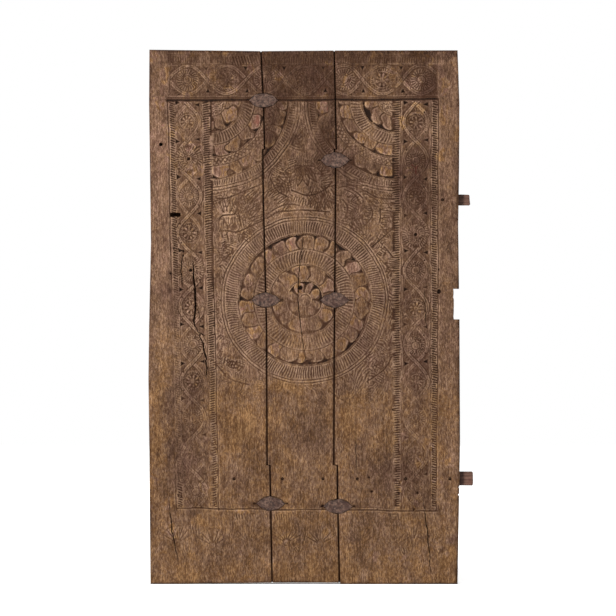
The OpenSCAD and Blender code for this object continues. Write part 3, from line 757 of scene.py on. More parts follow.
def back_faces(grid, rim, first):
    """The back's cells of 4 by 4, with the fine points of its rim let into the outer ones."""
    rows, cols = (grid.shape[0] - 1) // 4 + 1, (grid.shape[1] - 1) // 4 + 1
    corner = np.array([[rim.get(int(v), -1) for v in across] for across in grid[::4, ::4]])
    corner[1:-1, 1:-1] = first + np.arange((rows - 2) * (cols - 2)).reshape(rows - 2, cols - 2)
    quads, others = [], []
    for j in range(rows - 1):
        for i in range(cols - 1):
            face = [corner[j, i]]
            if i == 0:
                face += [rim[int(grid[j * 4 + s, 0])] for s in (1, 2, 3)]
            face.append(corner[j + 1, i])
            if j == rows - 2:
                face += [rim[int(grid[-1, i * 4 + s])] for s in (1, 2, 3)]
            face.append(corner[j + 1, i + 1])
            if i == cols - 2:
                face += [rim[int(grid[j * 4 + s, -1])] for s in (3, 2, 1)]
            face.append(corner[j, i + 1])
            if j == 0:
                face += [rim[int(grid[0, i * 4 + s])] for s in (3, 2, 1)]
            (quads if len(face) == 4 else others).append(face)
    return quads, others


def plank_grid(left, right, spacing):
    """Rows and columns of points, drawn to a plank's uneven sides, top and foot."""
    x_low, x_high = float(np.mean(left(ROWS))), float(np.mean(right(ROWS)))
    cols = spread(x_low, x_high, spacing)
    while (len(cols) - 1) % 4:
        cols = np.delete(cols, len(cols) // 2)
    x = cols + ease(x_low + 70, x_low, cols) * (left(ROWS) - x_low)[:, None]
    x = x + ease(x_high - 70, x_high, cols) * (right(ROWS) - x_high)[:, None]
    z = np.repeat(ROWS[:, None], len(cols), 1)
    return x, z + ease(LEAF_H - 45, LEAF_H, z) * (top_edge(x) - LEAF_H) + ease(45, 0, z) * bottom_edge(x)


def face_triangles(grid, depth):
    """The face's cells, each split along its flatter diagonal."""
    a, b, c, d = grid[:-1, :-1], grid[:-1, 1:], grid[1:, 1:], grid[1:, :-1]
    first = np.abs(depth[:-1, :-1] - depth[1:, 1:]) <= np.abs(depth[:-1, 1:] - depth[1:, :-1])
    halves = ((first, a, b, c), (first, a, c, d), (~first, a, b, d), (~first, b, c, d))
    return np.concatenate([np.stack([p[cells], q[cells], r[cells]], 1) for cells, p, q, r in halves])


def plank_sides(lx, lz, out_x, out_z, laps):
    """The layers of points down a plank's four sides; laps are its shares of lap, left and right."""

    def layer(y, inset, moved, seed):
        rough_x = inset + 0.45 * (1 + cloud(lx + lz * 0.7, lz, 9, 14, seed)) * np.abs(out_x)
        rough_z = inset + 0.2 * (1 + cloud(lx, lx, 7, 7, seed))
        return np.stack([lx + moved - out_x * rough_x, y + 0 * lx, lz - out_z * rough_z], 1)

    shift = LAP * sum(laps)
    mid = MID - 0.1 + 0.3 * laps[1] - 0.3 * laps[0]
    return [
        layer(FRONT + 13, 0.0, 0, 72), layer(mid - 0.06, 0.1, 0, 73), layer(mid + 0.06, 0.1, shift, 74),
        layer(BACK - 4, 0.0, shift, 75), layer(BACK - 0.6, 1.6, shift, 76),
    ]


def plank(name, left, right, laps, spacing):
    """One plank as a closed mesh: a carved face, worn arrises, lapped sides and an adzed back."""

    def lapped(x, z):
        return laps[0] * ease(LAP_REACH, 0, x - left(z)), laps[1] * ease(LAP_REACH, 0, right(z) - x)

    x, z = plank_grid(left, right, spacing)
    nj, ni = x.shape
    back_x, back_z = x[::4, ::4], z[::4, ::4]
    x, z = snapped(x, z)
    depth = np.clip(face_depth(x, z) + 0.9 * worn_arris(x, z, left, right, laps), 0.05, 11.5)
    grid = np.arange(nj * ni).reshape(nj, ni)

    # The loop round the face, anticlockwise from the front, and the way out at each of its points
    loop = np.concatenate([grid[0, :-1], grid[:-1, -1], grid[-1, :0:-1], grid[:0:-1, 0]])
    out_x = np.concatenate([np.zeros(ni - 1), np.ones(nj - 1), np.zeros(ni - 1), -np.ones(nj - 1)])
    out_z = np.concatenate([-np.ones(ni - 1), np.zeros(nj - 1), np.ones(ni - 1), np.zeros(nj - 1)])
    lx, lz = x.ravel()[loop], z.ravel()[loop]
    layers = plank_sides(lx, lz, out_x, out_z, lapped(lx, lz))
    here = np.arange(len(loop))
    there = (here + 1) % len(loop)
    quads = []
    before = loop
    for k in range(len(layers)):
        now = nj * ni + k * len(loop) + here
        quads.append(np.stack([before, now, now[there], before[there]], 1))
        before = now

    back_x = back_x + LAP * sum(lapped(back_x, back_z))
    adze = 0.9 + 0.5 * cloud(back_x, back_z, 42, 75, 77) + 0.35 * cloud(back_x, back_z, 19, 140, 78)
    back = np.stack([back_x, BACK - adze, back_z], 2)[1:-1, 1:-1].reshape(-1, 3)
    rim = dict(zip(loop.tolist(), before.tolist()))
    back_quads, others = back_faces(grid, rim, nj * ni + len(layers) * len(loop))
    face = np.stack([x.ravel(), (FRONT + depth).ravel(), z.ravel()], 1)
    quads = np.concatenate([*quads, np.array(back_quads)])
    points = np.concatenate([face, *layers, back])
    return add_object(name, build_mesh(name, points, face_triangles(grid, depth), quads, others))


# ---- Cutters ----


def prism(outline, y_front, y_back, shrink=1.0):
    """A closed prism from an outline on the face, with its back end scaled."""
    n = len(outline)
    outline = np.asarray(outline, float)
    middle = outline.mean(0)
    deep = middle + (outline - middle) * shrink
    points = [(p[0], y_front, p[1]) for p in outline] + [(p[0], y_back, p[1]) for p in deep]
    following = np.roll(outline, -1, 0)
    area = np.sum(outline[:, 0] * following[:, 1] - following[:, 0] * outline[:, 1])
    sides = [[k, n + k, n + (k + 1) % n, (k + 1) % n] for k in range(n)]
    faces = [list(range(n)), list(range(n, 2 * n))[::-1]] + sides
    if area < 0:
        faces = [f[::-1] for f in faces]
    return bpy.data.objects.new("prism", build_mesh("prism", points, [], [], faces))


def circle(x, z, radius, count, rough, seed):
    """A slightly uneven circle's outline."""
    angles = np.arange(count) * 2 * math.pi / count
    radii = radius * (1 + rough * np.random.default_rng(seed).uniform(-1, 1, count))
    return [(x + r * math.cos(a), z + r * math.sin(a)) for r, a in zip(radii, angles)]


def box_outline(x_low, x_high, z_low, z_high):
    return [(x_low, z_low), (x_high, z_low), (x_high, z_high), (x_low, z_high)]


def arc_radius(half_l, half_w):
    """The radius of an almond's two arcs."""
    return (half_l**2 + half_w**2) / (2 * half_w)


def almond(x, z, seed):
    """The outline of a cramp's bed: two uneven arcs that meet at its tips."""
    room = 1.3
    half_l, half_w = CRAMP_L / 2 + room, CRAMP_W / 2 + room
    r = arc_radius(half_l, half_w)
    u = np.linspace(-half_l, half_l, 17)
    v = np.sqrt(r * r - u * u) - (r - half_w)
    upper, lower = np.stack([x + u, z + v], 1), np.stack([x + u, z - v], 1)
    points = np.concatenate([upper, lower[::-1][1:-1]])
    return points + 0.5 * np.random.default_rng(seed).uniform(-1, 1, points.shape)


def crack_cutter(points, width, depth, seed):
    """A wedge along a crack's line, deepest and widest in its middle."""
    random = np.random.default_rng(seed)
    low, high = points[0][1], points[-1][1]
    t = np.linspace(0, 1, max(int((high - low) / 7), 6) + 1)
    z = low + (high - low) * t
    x = through([(p[1], p[0]) for p in points], z) + LEFT
    x = x + random.normal(0, 0.55, len(t)) + 1.2 * np.sin(t * 23 + seed)
    flare = width / 2 * (0.12 + 0.88 * np.sin(math.pi * t) ** 0.6) * random.uniform(0.6, 1.15, len(t)) * 1.15
    deep = depth * (0.25 + 0.75 * np.sin(math.pi * t) ** 0.5)
    over = np.full_like(z, FRONT - 2)
    rims = [(x - flare, over, z), (x + flare, over, z), (x + 0.4, FRONT + deep, z)]
    verts = np.stack([np.stack(rim, 1) for rim in rims], 1).reshape(-1, 3)
    faces = []
    for p in range(0, 3 * (len(t) - 1), 3):
        q = p + 3
        faces += [[p, p + 1, q + 1, q], [p + 1, p + 2, q + 2, q + 1], [p + 2, p, q, q + 2]]
    end = 3 * (len(t) - 1)
    faces += [[0, 2, 1], [end, end + 1, end + 2]]
    return bpy.data.objects.new("crack", build_mesh("crack", verts, [], [], faces))


CRACKS = {  # for each plank: points as (x from the left edge, height), width, depth and seed
    1: [
        ([(187, 660), (187, 705), (176, 768), (166, 796), (160, 808)], 7, 18, 3),
        (
            [(168, 792), (160, 806), (149, 826), (147, 850), (150, 880), (151, 915), (146, 980), (142, 1040)],
            9, 21, 12,
        ),
        ([(181, 796), (172, 802), (162, 809)], 10, 12, 4),
        ([(163, 815), (166, 850), (158, 884), (153, 900)], 3, 9, 13),
        ([(97, 64), (76, 170), (66, 270)], 4.5, 13, 5),
        ([(112, 945), (104, 1000), (110, 1065)], 5, 11, 6),
    ],
    2: [([(506, 700), (500, 752), (485, 850), (479, 960), (488, 1034), (499, 1150)], 4, 14, 7)],
    3: [
        ([(907, 32), (894, 176), (880, 282)], 4.5, 15, 8),
        ([(670, 333), (666, 420), (664, 495)], 3, 9, 10),
        ([(891, 815), (888, 890), (885, 955)], 3.4, 9, 11),
    ],
}
OVER, BEHIND = FRONT - 4, BACK + 3  # where cutters start before the face, or come out behind the back


def mortises():
    """The slots in which the bars lie: they run across the leaf, inside the planks."""
    room = 0.6
    cuts = []
    for z, tall, _, _ in BARS.values():
        outline = box_outline(LEFT + 60, RIGHT + 30, z - tall / 2 - room, z + tall / 2 + room)
        cuts.append(prism(outline, MID - BAR_T / 2 - room, MID + BAR_T / 2 + room))
    return cuts


def pin_holes(low, high):
    """The holes of the pins between two places across the leaf."""
    cuts = []
    for level, (shares, blind) in PINS.items():
        for k, share in enumerate(shares):
            x = LEFT + share * LEAF_W
            if low < x < high:
                outline = circle(x, BARS[level][0], PIN_R + 0.5, 18, 0.05, k)
                cuts.append(prism(outline, FRONT + 9 if k < blind else OVER, BEHIND))
    return cuts


def cramp_beds(which):
    """The bed of each cramp on one plank, with the pocket at its tip and the hole of its spike."""
    cuts = []
    for _, x, z, number in cramp_places():
        if which in (number, number + 1):
            cuts.append(prism(almond(x, z, int(z) + number), OVER, FRONT + 3.9))
            side = -1 if which == number else 1
            tip = x + side * CRAMP_L / 2
            end = tip + side * 12
            pocket = [(tip - side * 5, z - 2), (end - side * 3, z - 4), (end, z + 1), (end - side * 4, z + 4)]
            cuts.append(prism(pocket + [(tip - side * 5, z + 2)], OVER, FRONT + 4.5, 0.8))
            sx = x + side * SPIKE_X
            cuts.append(prism(box_outline(sx - 5, sx + 5, z - 3.4, z + 3.4), FRONT, FRONT + 31))
    return cuts


def slot_and_peg_hole():
    """The two blind holes in the left plank."""
    outline = [(69, 1178), (103, 1179), (104, 1191), (88, 1192.5), (69.5, 1191.5)]
    slot = prism([(LEFT + x, z) for x, z in outline], OVER, FRONT + 34, 0.93)
    return [slot, prism(circle(LEFT + 40, 1411, 6.0, 22, 0.06, 5), OVER, FRONT + 30, 0.9)]


def edge_losses():
    """The notch in the right edge and the chips under the lower bar's end."""
    low, high = 849.5, 947.5
    wander = np.random.default_rng(9).uniform(-1.2, 1.2, 12)
    inner = [(RIGHT - 21 + v, z) for v, z in zip(wander, np.linspace(low, high, 12))]
    outlines = [inner[::-1] + [(RIGHT + 20, low), (RIGHT + 20, high)]]
    for share, deep, long in ((0.167, 7, 16), (0.181, 5, 10)):
        z = share * LEAF_H
        inner = [(RIGHT - deep, z - 1), (RIGHT - deep + 1, z + 2)]
        outlines.append([(RIGHT + 3, z - long / 2), *inner, (RIGHT + 3, z + long / 2)])
    return [prism(outline, OVER, BEHIND) for outline in outlines]


def plank_cutters(which):
    """Everything cut out of one plank."""
    low, high = ((LEFT, SEAM_1), (SEAM_1, SEAM_2), (SEAM_2, RIGHT))[which - 1]
    cuts = mortises() + pin_holes(low, high) + cramp_beds(which)
    if which == 1:
        cuts += slot_and_peg_hole()
    if which == 3:
        cuts += edge_losses()
    return cuts + [crack_cutter(*crack) for crack in CRACKS[which]]


def describe(piece):
    """Writes a plank's dirt and painted shade, its stain, and its worn crests with painted highlight at each
    point, by place.
    """
    x, y, z = read_points(piece.data).T
    below = y - FRONT
    on_face = below < 12.2
    # Walls behind the face, such as seam sides and holes, are darkened: painted shade in the recesses, less
    # on the outer sides.
    wall = ease(2.5, 6.0, below - sample(relief, x, z)) * (below < LEAF_T - 6)
    open_side = ((x < LEFT + 20) | (x > RIGHT - 26) | (z > LEAF_H - 12) | (z < 10)) & (below > 1)
    cavity = np.maximum(sample(dirt_and_shade, x, z) * on_face, np.where(open_side, 0.12, 1.0) * wall)
    # Painted shade with some dirt: the face is darkened along each seam's gap.
    for number in (1, 2):
        away = np.abs(x - seam(number, z, 0)) - SEAM_GAP / 2
        cavity = np.maximum(cavity, 1.1 * ease(2.4, 0.3, away + 0.9 * cloud(x, z, 9, 16, 79)))
    tone, hue = stains_and_tip_shade_at(x, z)
    petal = sample(tint, x, z) * on_face
    tone, hue = tone + 0.6 * petal, hue + 1.6 * np.sin(petal * 23) * np.clip(np.abs(petal) * 1.6, 0, 1)
    to_edge = np.minimum.reduce([x - outer_left(z), outer_right(z) - x, top_edge(x) - z, z - bottom_edge(x)])
    grime = ease(9, 1.5, to_edge + 2 * cloud(x, z, 30, 30, 84))
    put(piece.data, "cavity", np.clip(cavity, 0, 1.4))
    put(piece.data, "tone", tone - (0.75 + 0.4 * cloud(x, z, 22, 34, 83)) * grime)
    put(piece.data, "hue", hue)
    put(piece.data, "crest_wear_and_highlight", sample(crest_wear_and_highlight, x, z) * on_face)
    put(piece.data, "ends", ((z > LEAF_H - 14) | (z < 7)) * ease(1.5, 4, below))


# ---- Materials ----


def to_linear(r, g, b):
    return [((c / 255 + 0.055) / 1.055) ** 2.4 if c > 10 else c / 255 / 12.92 for c in (r, g, b)] + [1.0]


class Nodes:
    """Short calls for building one material's nodes."""

    def __init__(self, name):
        self.material = bpy.data.materials.new(name)
        self.material.use_nodes = True
        self.tree = self.material.node_tree
        self.tree.nodes.clear()
        out = self.tree.nodes.new("ShaderNodeOutputMaterial")
        self.shader = self.tree.nodes.new("ShaderNodeBsdfPrincipled")
        self.tree.links.new(self.shader.outputs[0], out.inputs["Surface"])
        self.place = self.tree.nodes.new("ShaderNodeTexCoord").outputs["Object"]

    def plug(self, socket, value):
        if isinstance(value, bpy.types.NodeSocket):
            self.tree.links.new(value, socket)
        else:
            socket.default_value = value

    def node(self, kind, inputs, **settings):
        """A new node with its inputs linked or set, by their names or numbers."""
        node = self.tree.nodes.new("ShaderNode" + kind)
        for key, value in settings.items():
            setattr(node, key, value)
        for key, value in inputs.items():
            self.plug(node.inputs[key], value)
        return node

    def scaled(self, x, y, z):
        return self.node("Mapping", {"Vector": self.place, "Scale": (x, y, z)}).outputs[0]

    def noise(self, where, scale, detail=4.0, rough=0.5, distortion=0.0):
        inputs = {"Vector": where, "Scale": scale, "Detail": detail, "Roughness": rough}
        return self.node("TexNoise", {**inputs, "Distortion": distortion}).outputs["Fac"]

    def grain(self, x, y, z, detail, rough=0.5, distortion=0.0):
        """Noise with its own scale along each axis."""
        return self.noise(self.scaled(x, y, z), 1.0, detail, rough, distortion)

    def times(self, a, b):
        return self.node("Math", {0: a, 1: b}, operation="MULTIPLY").outputs[0]

    def add(self, a, b):
        return self.node("Math", {0: a, 1: b}, operation="ADD").outputs[0]

    def weigh(self, *parts):
        """The sum of (value, weight) pairs."""
        total = self.times(*parts[0])
        for value, weight in parts[1:]:
            total = self.add(total, self.times(value, weight))
        return total

    def fit(self, value, low, high, to_low=0.0, to_high=1.0):
        inputs = {"Value": value, "From Min": low, "From Max": high, "To Min": to_low, "To Max": to_high}
        return self.node("MapRange", inputs, clamp=True).outputs[0]

    def mix(self, factor, a, b, kind="MIX"):
        node = self.node("Mix", {}, data_type="RGBA", blend_type=kind)
        for number, value in ((0, factor), (6, a), (7, b)):
            self.plug(node.inputs[number], value)
        return node.outputs[2]

    def coat(self, base, value, low, high, most, colour):
        """Lays a colour over a base, from not at all to most as a value runs from low to high."""
        return self.mix(self.fit(value, low, high, 0, most), base, to_linear(*colour))

    def attribute(self, name):
        return self.node("Attribute", {}, attribute_name=name).outputs["Fac"]

    def bump(self, height, distance):
        return self.node("Bump", {"Height": height, "Distance": distance, "Strength": 1.0}).outputs[0]

    def finish(self, colour, rough, normal=None, **constants):
        self.plug(self.shader.inputs["Base Color"], colour)
        self.plug(self.shader.inputs["Roughness"], rough)
        if normal is not None:
            self.plug(self.shader.inputs["Normal"], normal)
        for key, value in constants.items():
            self.shader.inputs[key.replace("_", " ")].default_value = value
        return self.material


def plank_wood():
    n = Nodes("old_plank_wood")
    names = ("cavity", "tone", "hue", "crest_wear_and_highlight", "ends")
    cavity, tone, hue, crest_wear_and_highlight_share, ends = [n.attribute(name) for name in names]
    figure = n.grain(30, 30, 2.2, 5, 0.6, 0.8)
    streak = n.grain(210, 210, 9, 5, 0.62, 0.35)
    fibre = n.grain(340, 340, 20, 4, 0.65)
    pores = n.grain(1000, 1000, 60, 2)
    blotch = n.grain(34, 34, 22, 6, 0.66)
    dust = n.grain(290, 290, 105, 6, 0.7)
    grit = n.noise(n.place, 520.0, 4, 0.7)
    tinge = n.noise(n.place, 130.0, 4, 0.7)
    speck = n.weigh((dust, 0.78), (grit, 0.22))
    base = n.mix(n.fit(figure, 0.3, 0.7), to_linear(78, 56, 41), to_linear(96, 71, 52))
    for value, low, high, most, colour in (
        (streak, 0.45, 0.7, 0.6, (56, 36, 25)),
        (fibre, 0.48, 0.7, 0.55, (122, 98, 79)),
        (blotch, 0.5, 0.7, 0.5, (58, 38, 27)),
        (pores, 0.58, 0.74, 0.55, (36, 26, 20)),
        # Raised spots painted paler: wear and painted highlight.
        (crest_wear_and_highlight_share, 0.05, 0.85, 0.72, (150, 123, 100)),
        (speck, 0.55, 0.38, 0.68, (42, 27, 18)),
        (speck, 0.5, 0.65, 0.52, (136, 111, 90)),
    ):
        base = n.coat(base, value, low, high, most, colour)
    shift = n.add(hue, n.fit(tinge, 0.3, 0.7, -0.8, 0.8))
    base = n.mix(n.fit(shift, 0.0, 1.3), base, (1.08, 0.99, 0.72, 1), "MULTIPLY")
    base = n.mix(n.fit(shift, 0.0, -1.3), base, (0.98, 0.94, 1.06, 1), "MULTIPLY")
    base = n.coat(base, hue, -1.7, -2.6, 0.6, (96, 42, 36))
    base = n.mix(n.fit(tone, 0.0, 1.2), base, (1.62, 1.66, 1.7, 1), "MULTIPLY")
    base = n.mix(n.fit(tone, 0.0, -1.2), base, (0.36, 0.32, 0.31, 1), "MULTIPLY")
    # Painted shade with dirt: the cuts, seams and walls are darkened from the cavity attribute.
    soot_and_shade = n.times(cavity, n.fit(dust, 0.3, 0.7, 0.75, 1.05))
    base = n.coat(base, soot_and_shade, 0.08, 0.95, 0.82, (46, 28, 18))
    base = n.coat(base, soot_and_shade, 0.92, 1.25, 0.88, (17, 11, 9))
    base = n.mix(n.times(ends, 0.5), base, to_linear(52, 38, 28))
    height = n.weigh((streak, -0.8), (fibre, 0.6), (pores, -0.5), (speck, 1.3))
    roughness = n.fit(n.add(streak, n.times(cavity, 0.5)), 0.3, 0.9, 0.8, 1.0)
    return n.finish(base, roughness, n.bump(height, 0.0018), Specular_IOR_Level=0.05)


def bar_wood():
    n = Nodes("bar_wood")
    streak = n.grain(14, 260, 260, 5, 0.6, 0.3)
    fibre = n.grain(40, 900, 900, 4, 0.6)
    blotch = n.noise(n.place, 60.0, 5, 0.6)
    base = n.mix(n.fit(streak, 0.35, 0.7), to_linear(92, 68, 57), to_linear(46, 31, 26))
    base = n.coat(base, fibre, 0.5, 0.8, 0.4, (112, 84, 74))
    base = n.coat(base, blotch, 0.5, 0.72, 0.6, (58, 32, 28))
    # Painted contact shade with dirt near the plank's edge.
    soil_and_contact_shade = n.times(n.attribute("soil_and_contact_shade"), n.fit(blotch, 0.3, 0.7, 0.6, 1.0))
    base = n.mix(soil_and_contact_shade, base, to_linear(30, 20, 17))
    height = n.weigh((streak, -0.9), (fibre, 0.5))
    roughness = n.fit(blotch, 0.3, 0.7, 0.7, 0.88)
    return n.finish(base, roughness, n.bump(height, 0.0014), Specular_IOR_Level=0.08)


def pin_wood():
    n = Nodes("pin_wood")
    rays = n.grain(900, 30, 900, 4, 0.6)
    blotch = n.noise(n.place, 240.0, 4, 0.6)
    base = n.mix(n.fit(rays, 0.35, 0.7), to_linear(48, 34, 26), to_linear(86, 62, 46))
    base = n.coat(base, blotch, 0.5, 0.75, 0.6, (28, 20, 16))
    roughness = n.fit(rays, 0.3, 0.7, 0.7, 0.9)
    return n.finish(base, roughness, n.bump(rays, 0.0008), Specular_IOR_Level=0.05)


def forged_iron():
    n = Nodes("forged_iron")
    scale = n.noise(n.place, 120.0, 6, 0.65)
    rust = n.noise(n.place, 55.0, 6, 0.7, 0.4)
    grit = n.noise(n.place, 700.0, 4, 0.7)
    base = n.mix(n.fit(scale, 0.4, 0.62), to_linear(38, 27, 23), to_linear(90, 69, 58))
    base = n.coat(base, rust, 0.46, 0.6, 0.75, (50, 32, 26))
    base = n.coat(base, grit, 0.5, 0.72, 0.6, (34, 27, 23))
    # Painted shade round the plate's edge, broken up by the rust noise.
    rim = n.times(n.attribute("rim"), n.fit(rust, 0.3, 0.7, 0.4, 1.1))
    base = n.coat(base, rim, 0.1, 1.0, 0.6, (30, 21, 17))
    height = n.weigh((scale, 1.0), (grit, 0.5))
    roughness = n.fit(rust, 0.35, 0.7, 0.55, 0.85)
    return n.finish(base, roughness, n.bump(height, 0.0016), Specular_IOR_Level=0.12)


PLANK, BAR, PIN, IRON = plank_wood(), bar_wood(), pin_wood(), forged_iron()


def settle(piece, node, material, angle):
    """Shades a finished piece, gives it its material, hangs it on the root body and hides its CAD node."""
    mesh = piece.data
    mesh.materials.clear()
    mesh.materials.append(material)
    mesh.shade_smooth()
    mesh.set_sharp_from_angle(angle=math.radians(angle))
    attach(piece, "root")
    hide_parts(node)


# ---- The planks ----

PLANKS = [  # which one, its left and right side, whether each side is lapped, spacing of its points
    ("left", outer_left, lambda z: seam(1, z, -1), (0, 1), lambda x: 5.0 if x < BAND_TOP - 8 else 2.75),
    ("middle", lambda z: seam(1, z, 1), lambda z: seam(2, z, -1), (1, 1), lambda x: 1.95),
    ("right", lambda z: seam(2, z, 1), outer_right, (1, 0), lambda x: 5.0 if x > BAND_RIGHT + 8 else 2.9),
]
for k, (place, left, right, laps, spacing) in enumerate(PLANKS):
    node = "plank_" + place
    piece = plank("carved_" + node, left, right, laps, spacing)
    combine(piece, plank_cutters(k + 1), "DIFFERENCE")
    describe(piece)
    settle(piece, node, PLANK, 42)


# ---- Cramps, bars and pins ----


def cramp_plate(name, x, z, seed):
    """A forged plate with a low crown, narrowed at its tips and dented by the hammer."""
    half_l, half_w = CRAMP_L / 2, CRAMP_W / 2
    r = arc_radius(half_l, half_w)
    nu, nv = 37, 15
    u = np.linspace(-1, 1, nu)[:, None] * half_l * 0.995 + np.zeros((1, nv))
    edge = np.sqrt(r * r - u * u) - (r - half_w)
    edge = edge * (1 + 0.12 * cloud(u + x, 0, 12, 9, seed)) - 0.4
    edge = np.maximum(edge * (1 - 0.45 * ease(0.78, 1.0, np.abs(u) / half_l)), 1.2)
    v = np.linspace(-1, 1, nv) * edge
    px, pz = x + u, z + v + 0.8 * cloud(u + x, 0, 30, 9, seed + 1)
    share = np.clip(np.abs(v) / edge, 0, 1)
    crown = -PROUD + 0.25 + 0.75 * share**3 + 0.5 * (np.abs(u) / half_l) ** 4
    dents = 0.5 * (1 + cloud(px, pz, 10, 8, seed + 2)) + 0.2 * (1 + cloud(px, pz, 4.0, 3.4, seed + 3))
    top = FRONT + np.clip(crown + dents, -PROUD + 0.02, 1.6)
    under = np.full_like(top, FRONT + 3.45)
    points = [np.stack([px, y, pz], 2).reshape(-1, 3) for y in (top, under)]
    top_id = np.arange(nu * nv).reshape(nu, nv)
    under_id = top_id + nu * nv
    quads = []
    for i in range(nu - 1):
        for j in range(nv - 1):
            quads.append([top_id[i, j], top_id[i + 1, j], top_id[i + 1, j + 1], top_id[i, j + 1]])
            quads.append([under_id[i, j], under_id[i, j + 1], under_id[i + 1, j + 1], under_id[i + 1, j]])
    rim = [*top_id[:, 0], *top_id[-1, 1:], *top_id[-2::-1, -1], *top_id[0, -2:0:-1]]
    for a, b in zip(rim, rim[1:] + rim[:1]):
        quads.append([a, a + nu * nv, b + nu * nv, b])
    mesh = build_mesh(name, np.concatenate(points), [], quads)
    # The plate's edge is marked for painted shade round the cramp.
    put(mesh, "rim", np.tile(ease(0.6, 1.0, share).ravel(), 2))
    return add_object(name, mesh)


def cramp(name, x, z, seed):
    """A cramp: its plate and the two spikes that go into the wood."""
    piece = cramp_plate(name, x, z, seed)
    spikes = []
    for side in (-1, 1):
        sx = x + side * SPIKE_X
        outline = box_outline(sx - 3.8, sx + 3.8, z - 2.4, z + 2.4)
        spikes.append(prism(outline, FRONT + 2.5, FRONT + 28, 0.35))
    combine(piece, spikes, "UNION")
    return piece


def tube(name, sections, near_tip, far_tip, flipped=False):
    """A closed mesh through rings of points; flipped is for rings that run the other way round."""
    n, last = len(sections[0]), len(sections[0]) * (len(sections) - 1)
    near, far = last + n, last + n + 1
    quads, tris = [], []
    for start in range(0, last, n):
        for i in range(n):
            a, b = start + i, start + (i + 1) % n
            quads.append([a, b, b + n, a + n])
    for i in range(n):
        j = (i + 1) % n
        tris += [[near, j, i], [far, last + i, last + j]]
    if flipped:
        quads = [face[:1] + face[:0:-1] for face in quads]
        tris = [face[:1] + face[:0:-1] for face in tris]
    return build_mesh(name, np.concatenate([*sections, [near_tip, far_tip]]), tris, quads)


def bar_outline(height):
    """The outline of a bar's section, with eased corners and its points some 3 mm apart."""
    eased = 2.6
    half_t, half_h = BAR_T / 2 - 0.1 - eased, height / 2 - 0.1 - eased
    corners = []
    for side_y, side_z, start in ((1, 1, 0), (-1, 1, 90), (-1, -1, 180), (1, -1, 270)):
        for step in (0, 30, 60, 90):
            c, s = turned(start + step)
            corners.append((side_y * half_t + eased * c, side_z * half_h + eased * s))
    corners = np.array(corners)
    fine = []
    for a, b in zip(corners, np.roll(corners, -1, 0)):
        n = max(1, int(np.hypot(*(b - a)) / 3.2))
        fine += [a + (b - a) * t / n for t in range(n)]
    return np.array(fine)


def bar(name, z, height, out, slant, seed):
    """A tie bar with eased corners, a hewn outer end and the scars of use."""
    near, far = LEFT + 60.6, RIGHT + out
    outline = bar_outline(height)
    stations = [*np.linspace(near, RIGHT - 60, 24), *np.linspace(RIGHT - 56, far - 4, 40)]
    sections = []
    for x in stations + [far - 2.6, far - 1.2, far - 0.35]:
        to_end = far - x
        shrink = 1.0 if to_end > 4 else 1 - 0.05 * (4 - to_end) ** 1.4 / 2
        dy, dz = (outline * shrink).T
        round_it = np.arctan2(dz, dy) * 12
        dent = 0.45 * (1 + cloud(round_it, x, 7, 22, seed))
        dent = dent + 0.25 * (1 + cloud(round_it, x, 2.2, 30, seed + 1))
        kept = 1 - dent / np.hypot(dy, dz)
        dy, dz = dy * kept, dz * kept
        px = x - slant * np.clip(dz / height + 0.5, 0, 1) * ease(30, 0, to_end)
        px = px - 0.5 * (1 + cloud(dy, dz, 6, 5, seed + 2)) * (to_end < 3)
        sections.append(np.stack([px, MID + dy, z + dz], 1))
    mesh = tube(name, sections, (near, MID, z), (far - 0.5 - slant / 2, MID + 0.4, z - 0.6))
    # Painted shade with dirt: the bar is darkened just outside the plank's right edge.
    put(mesh, "soil_and_contact_shade", ease(RIGHT + 17, RIGHT + 9, read_points(mesh)[:, 0]))
    return add_object(name, mesh)


def pin(name, x, z, y_front, seed):
    """A whittled pin, faceted all round, with rough ends."""
    random = np.random.default_rng(seed)
    n = 14
    angles = np.arange(n) * 2 * math.pi / n
    facet = PIN_R - 0.1 - 0.45 * random.uniform(0, 1, n)
    sections = []
    for y, size in (
        (y_front + 0.5, 0.62), (y_front + 0.9, 0.84), (y_front + 2.2, 1.0), (y_front + 12, 1.0),
        (BACK - 12, 0.98), (BACK - 2, 0.97), (BACK - 0.6, 0.9), (BACK - 0.25, 0.7),
    ):
        radii = facet * size * (1 + 0.03 * random.uniform(-1, 1, n))
        uneven_y = y + 0.15 * random.uniform(-1, 1, n)
        sections.append(np.stack([x + radii * np.cos(angles), uneven_y, z + radii * np.sin(angles)], 1))
    return add_object(name, tube(name, sections, (x, y_front + 0.3, z), (x, BACK - 0.12, z), flipped=True))


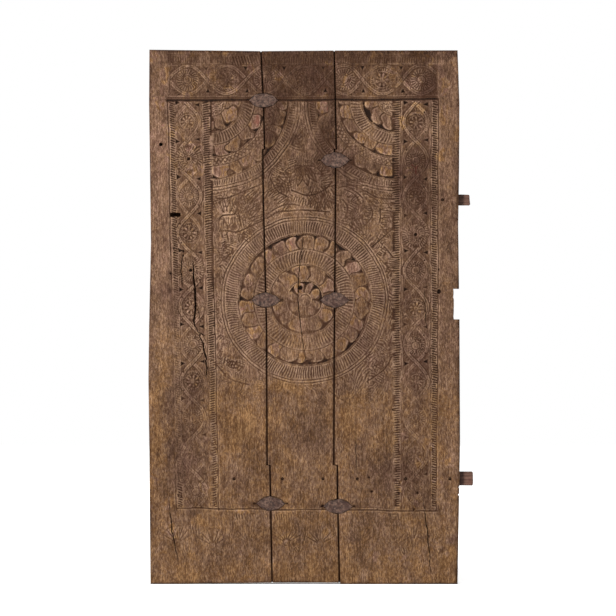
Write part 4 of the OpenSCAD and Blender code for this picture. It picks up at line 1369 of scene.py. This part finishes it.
for k, (node, x, z, _) in enumerate(cramp_places()):
    settle(cramp("forged_" + node, x, z, 300 + 7 * k), node, IRON, 50)
for k, (level, (z, tall, out, slant)) in enumerate(BARS.items()):
    node = "tie_bar_" + level
    settle(bar("hewn_" + node, z, tall, out, slant, 400 + 9 * k), node, BAR, 50)
for level, (shares, blind) in PINS.items():
    for k, share in enumerate(shares):
        node = f"{level}_bar_pin_{k + 1}"
        front = FRONT + (9.3 if k < blind else 5.0)
        piece = pin("whittled_" + node, LEFT + share * LEAF_W, BARS[level][0], front, 500 + k)
        settle(piece, node, PIN, 35)

# ---- Floor, light and camera ----

world = bpy.data.worlds.new("studio")
bpy.context.scene.world = world
world.use_nodes = True
sky = world.node_tree.nodes["Background"]
sky.inputs["Color"].default_value = (1.0, 1.0, 1.0, 1.0)
sky.inputs["Strength"].default_value = 1.0

corners = [(-9000, -9500, -0.3), (9000, -9500, -0.3), (9000, 9000, -0.3), (-9000, 9000, -0.3)]
floor = add_object("floor", build_mesh("floor", corners, [], [[0, 1, 2, 3]]))
paper = Nodes("pale_floor")
mottle = paper.fit(paper.noise(paper.place, 3.0, 3), 0.3, 0.7)
pale = paper.mix(mottle, (0.93, 0.93, 0.93, 1), (0.96, 0.96, 0.96, 1))
floor.data.materials.append(paper.finish(pale, 0.9, Emission_Strength=0.12))


def lamp(name, place, aim, size, watts):
    """A square area lamp turned to a point."""
    data = bpy.data.lights.new(name, "AREA")
    data.shape = "SQUARE"
    data.size = size
    data.energy = watts
    lamp_object = bpy.data.objects.new(name, data)
    lamp_object.location = place
    direction = np.array(aim) - np.array(place)
    yaw = math.atan2(direction[1], direction[0])
    pitch = math.atan2(direction[2], math.hypot(direction[0], direction[1]))
    lamp_object.rotation_euler = (math.pi / 2 + pitch, 0, yaw - math.pi / 2)
    bpy.context.scene.collection.objects.link(lamp_object)


lamp("key", (-5.2, -3.2, 5.3), (0, 0, 0.9), 1.6, 1050)
lamp("fill", (3.4, -4.4, 2.4), (0, 0, 0.85), 2.6, 110)

camera_data = bpy.data.cameras.new("camera")
camera_data.sensor_width = 36
camera_data.lens = 164
camera_data.clip_end = 60
camera = bpy.data.objects.new("camera", camera_data)
camera.location = (-0.0095, -9.0 + FRONT * MM, 0.886)
camera.rotation_euler = (math.pi / 2, 0, 0)
bpy.context.scene.collection.objects.link(camera)
bpy.context.scene.camera = camera
bpy.context.scene.view_settings.view_transform = "Standard"
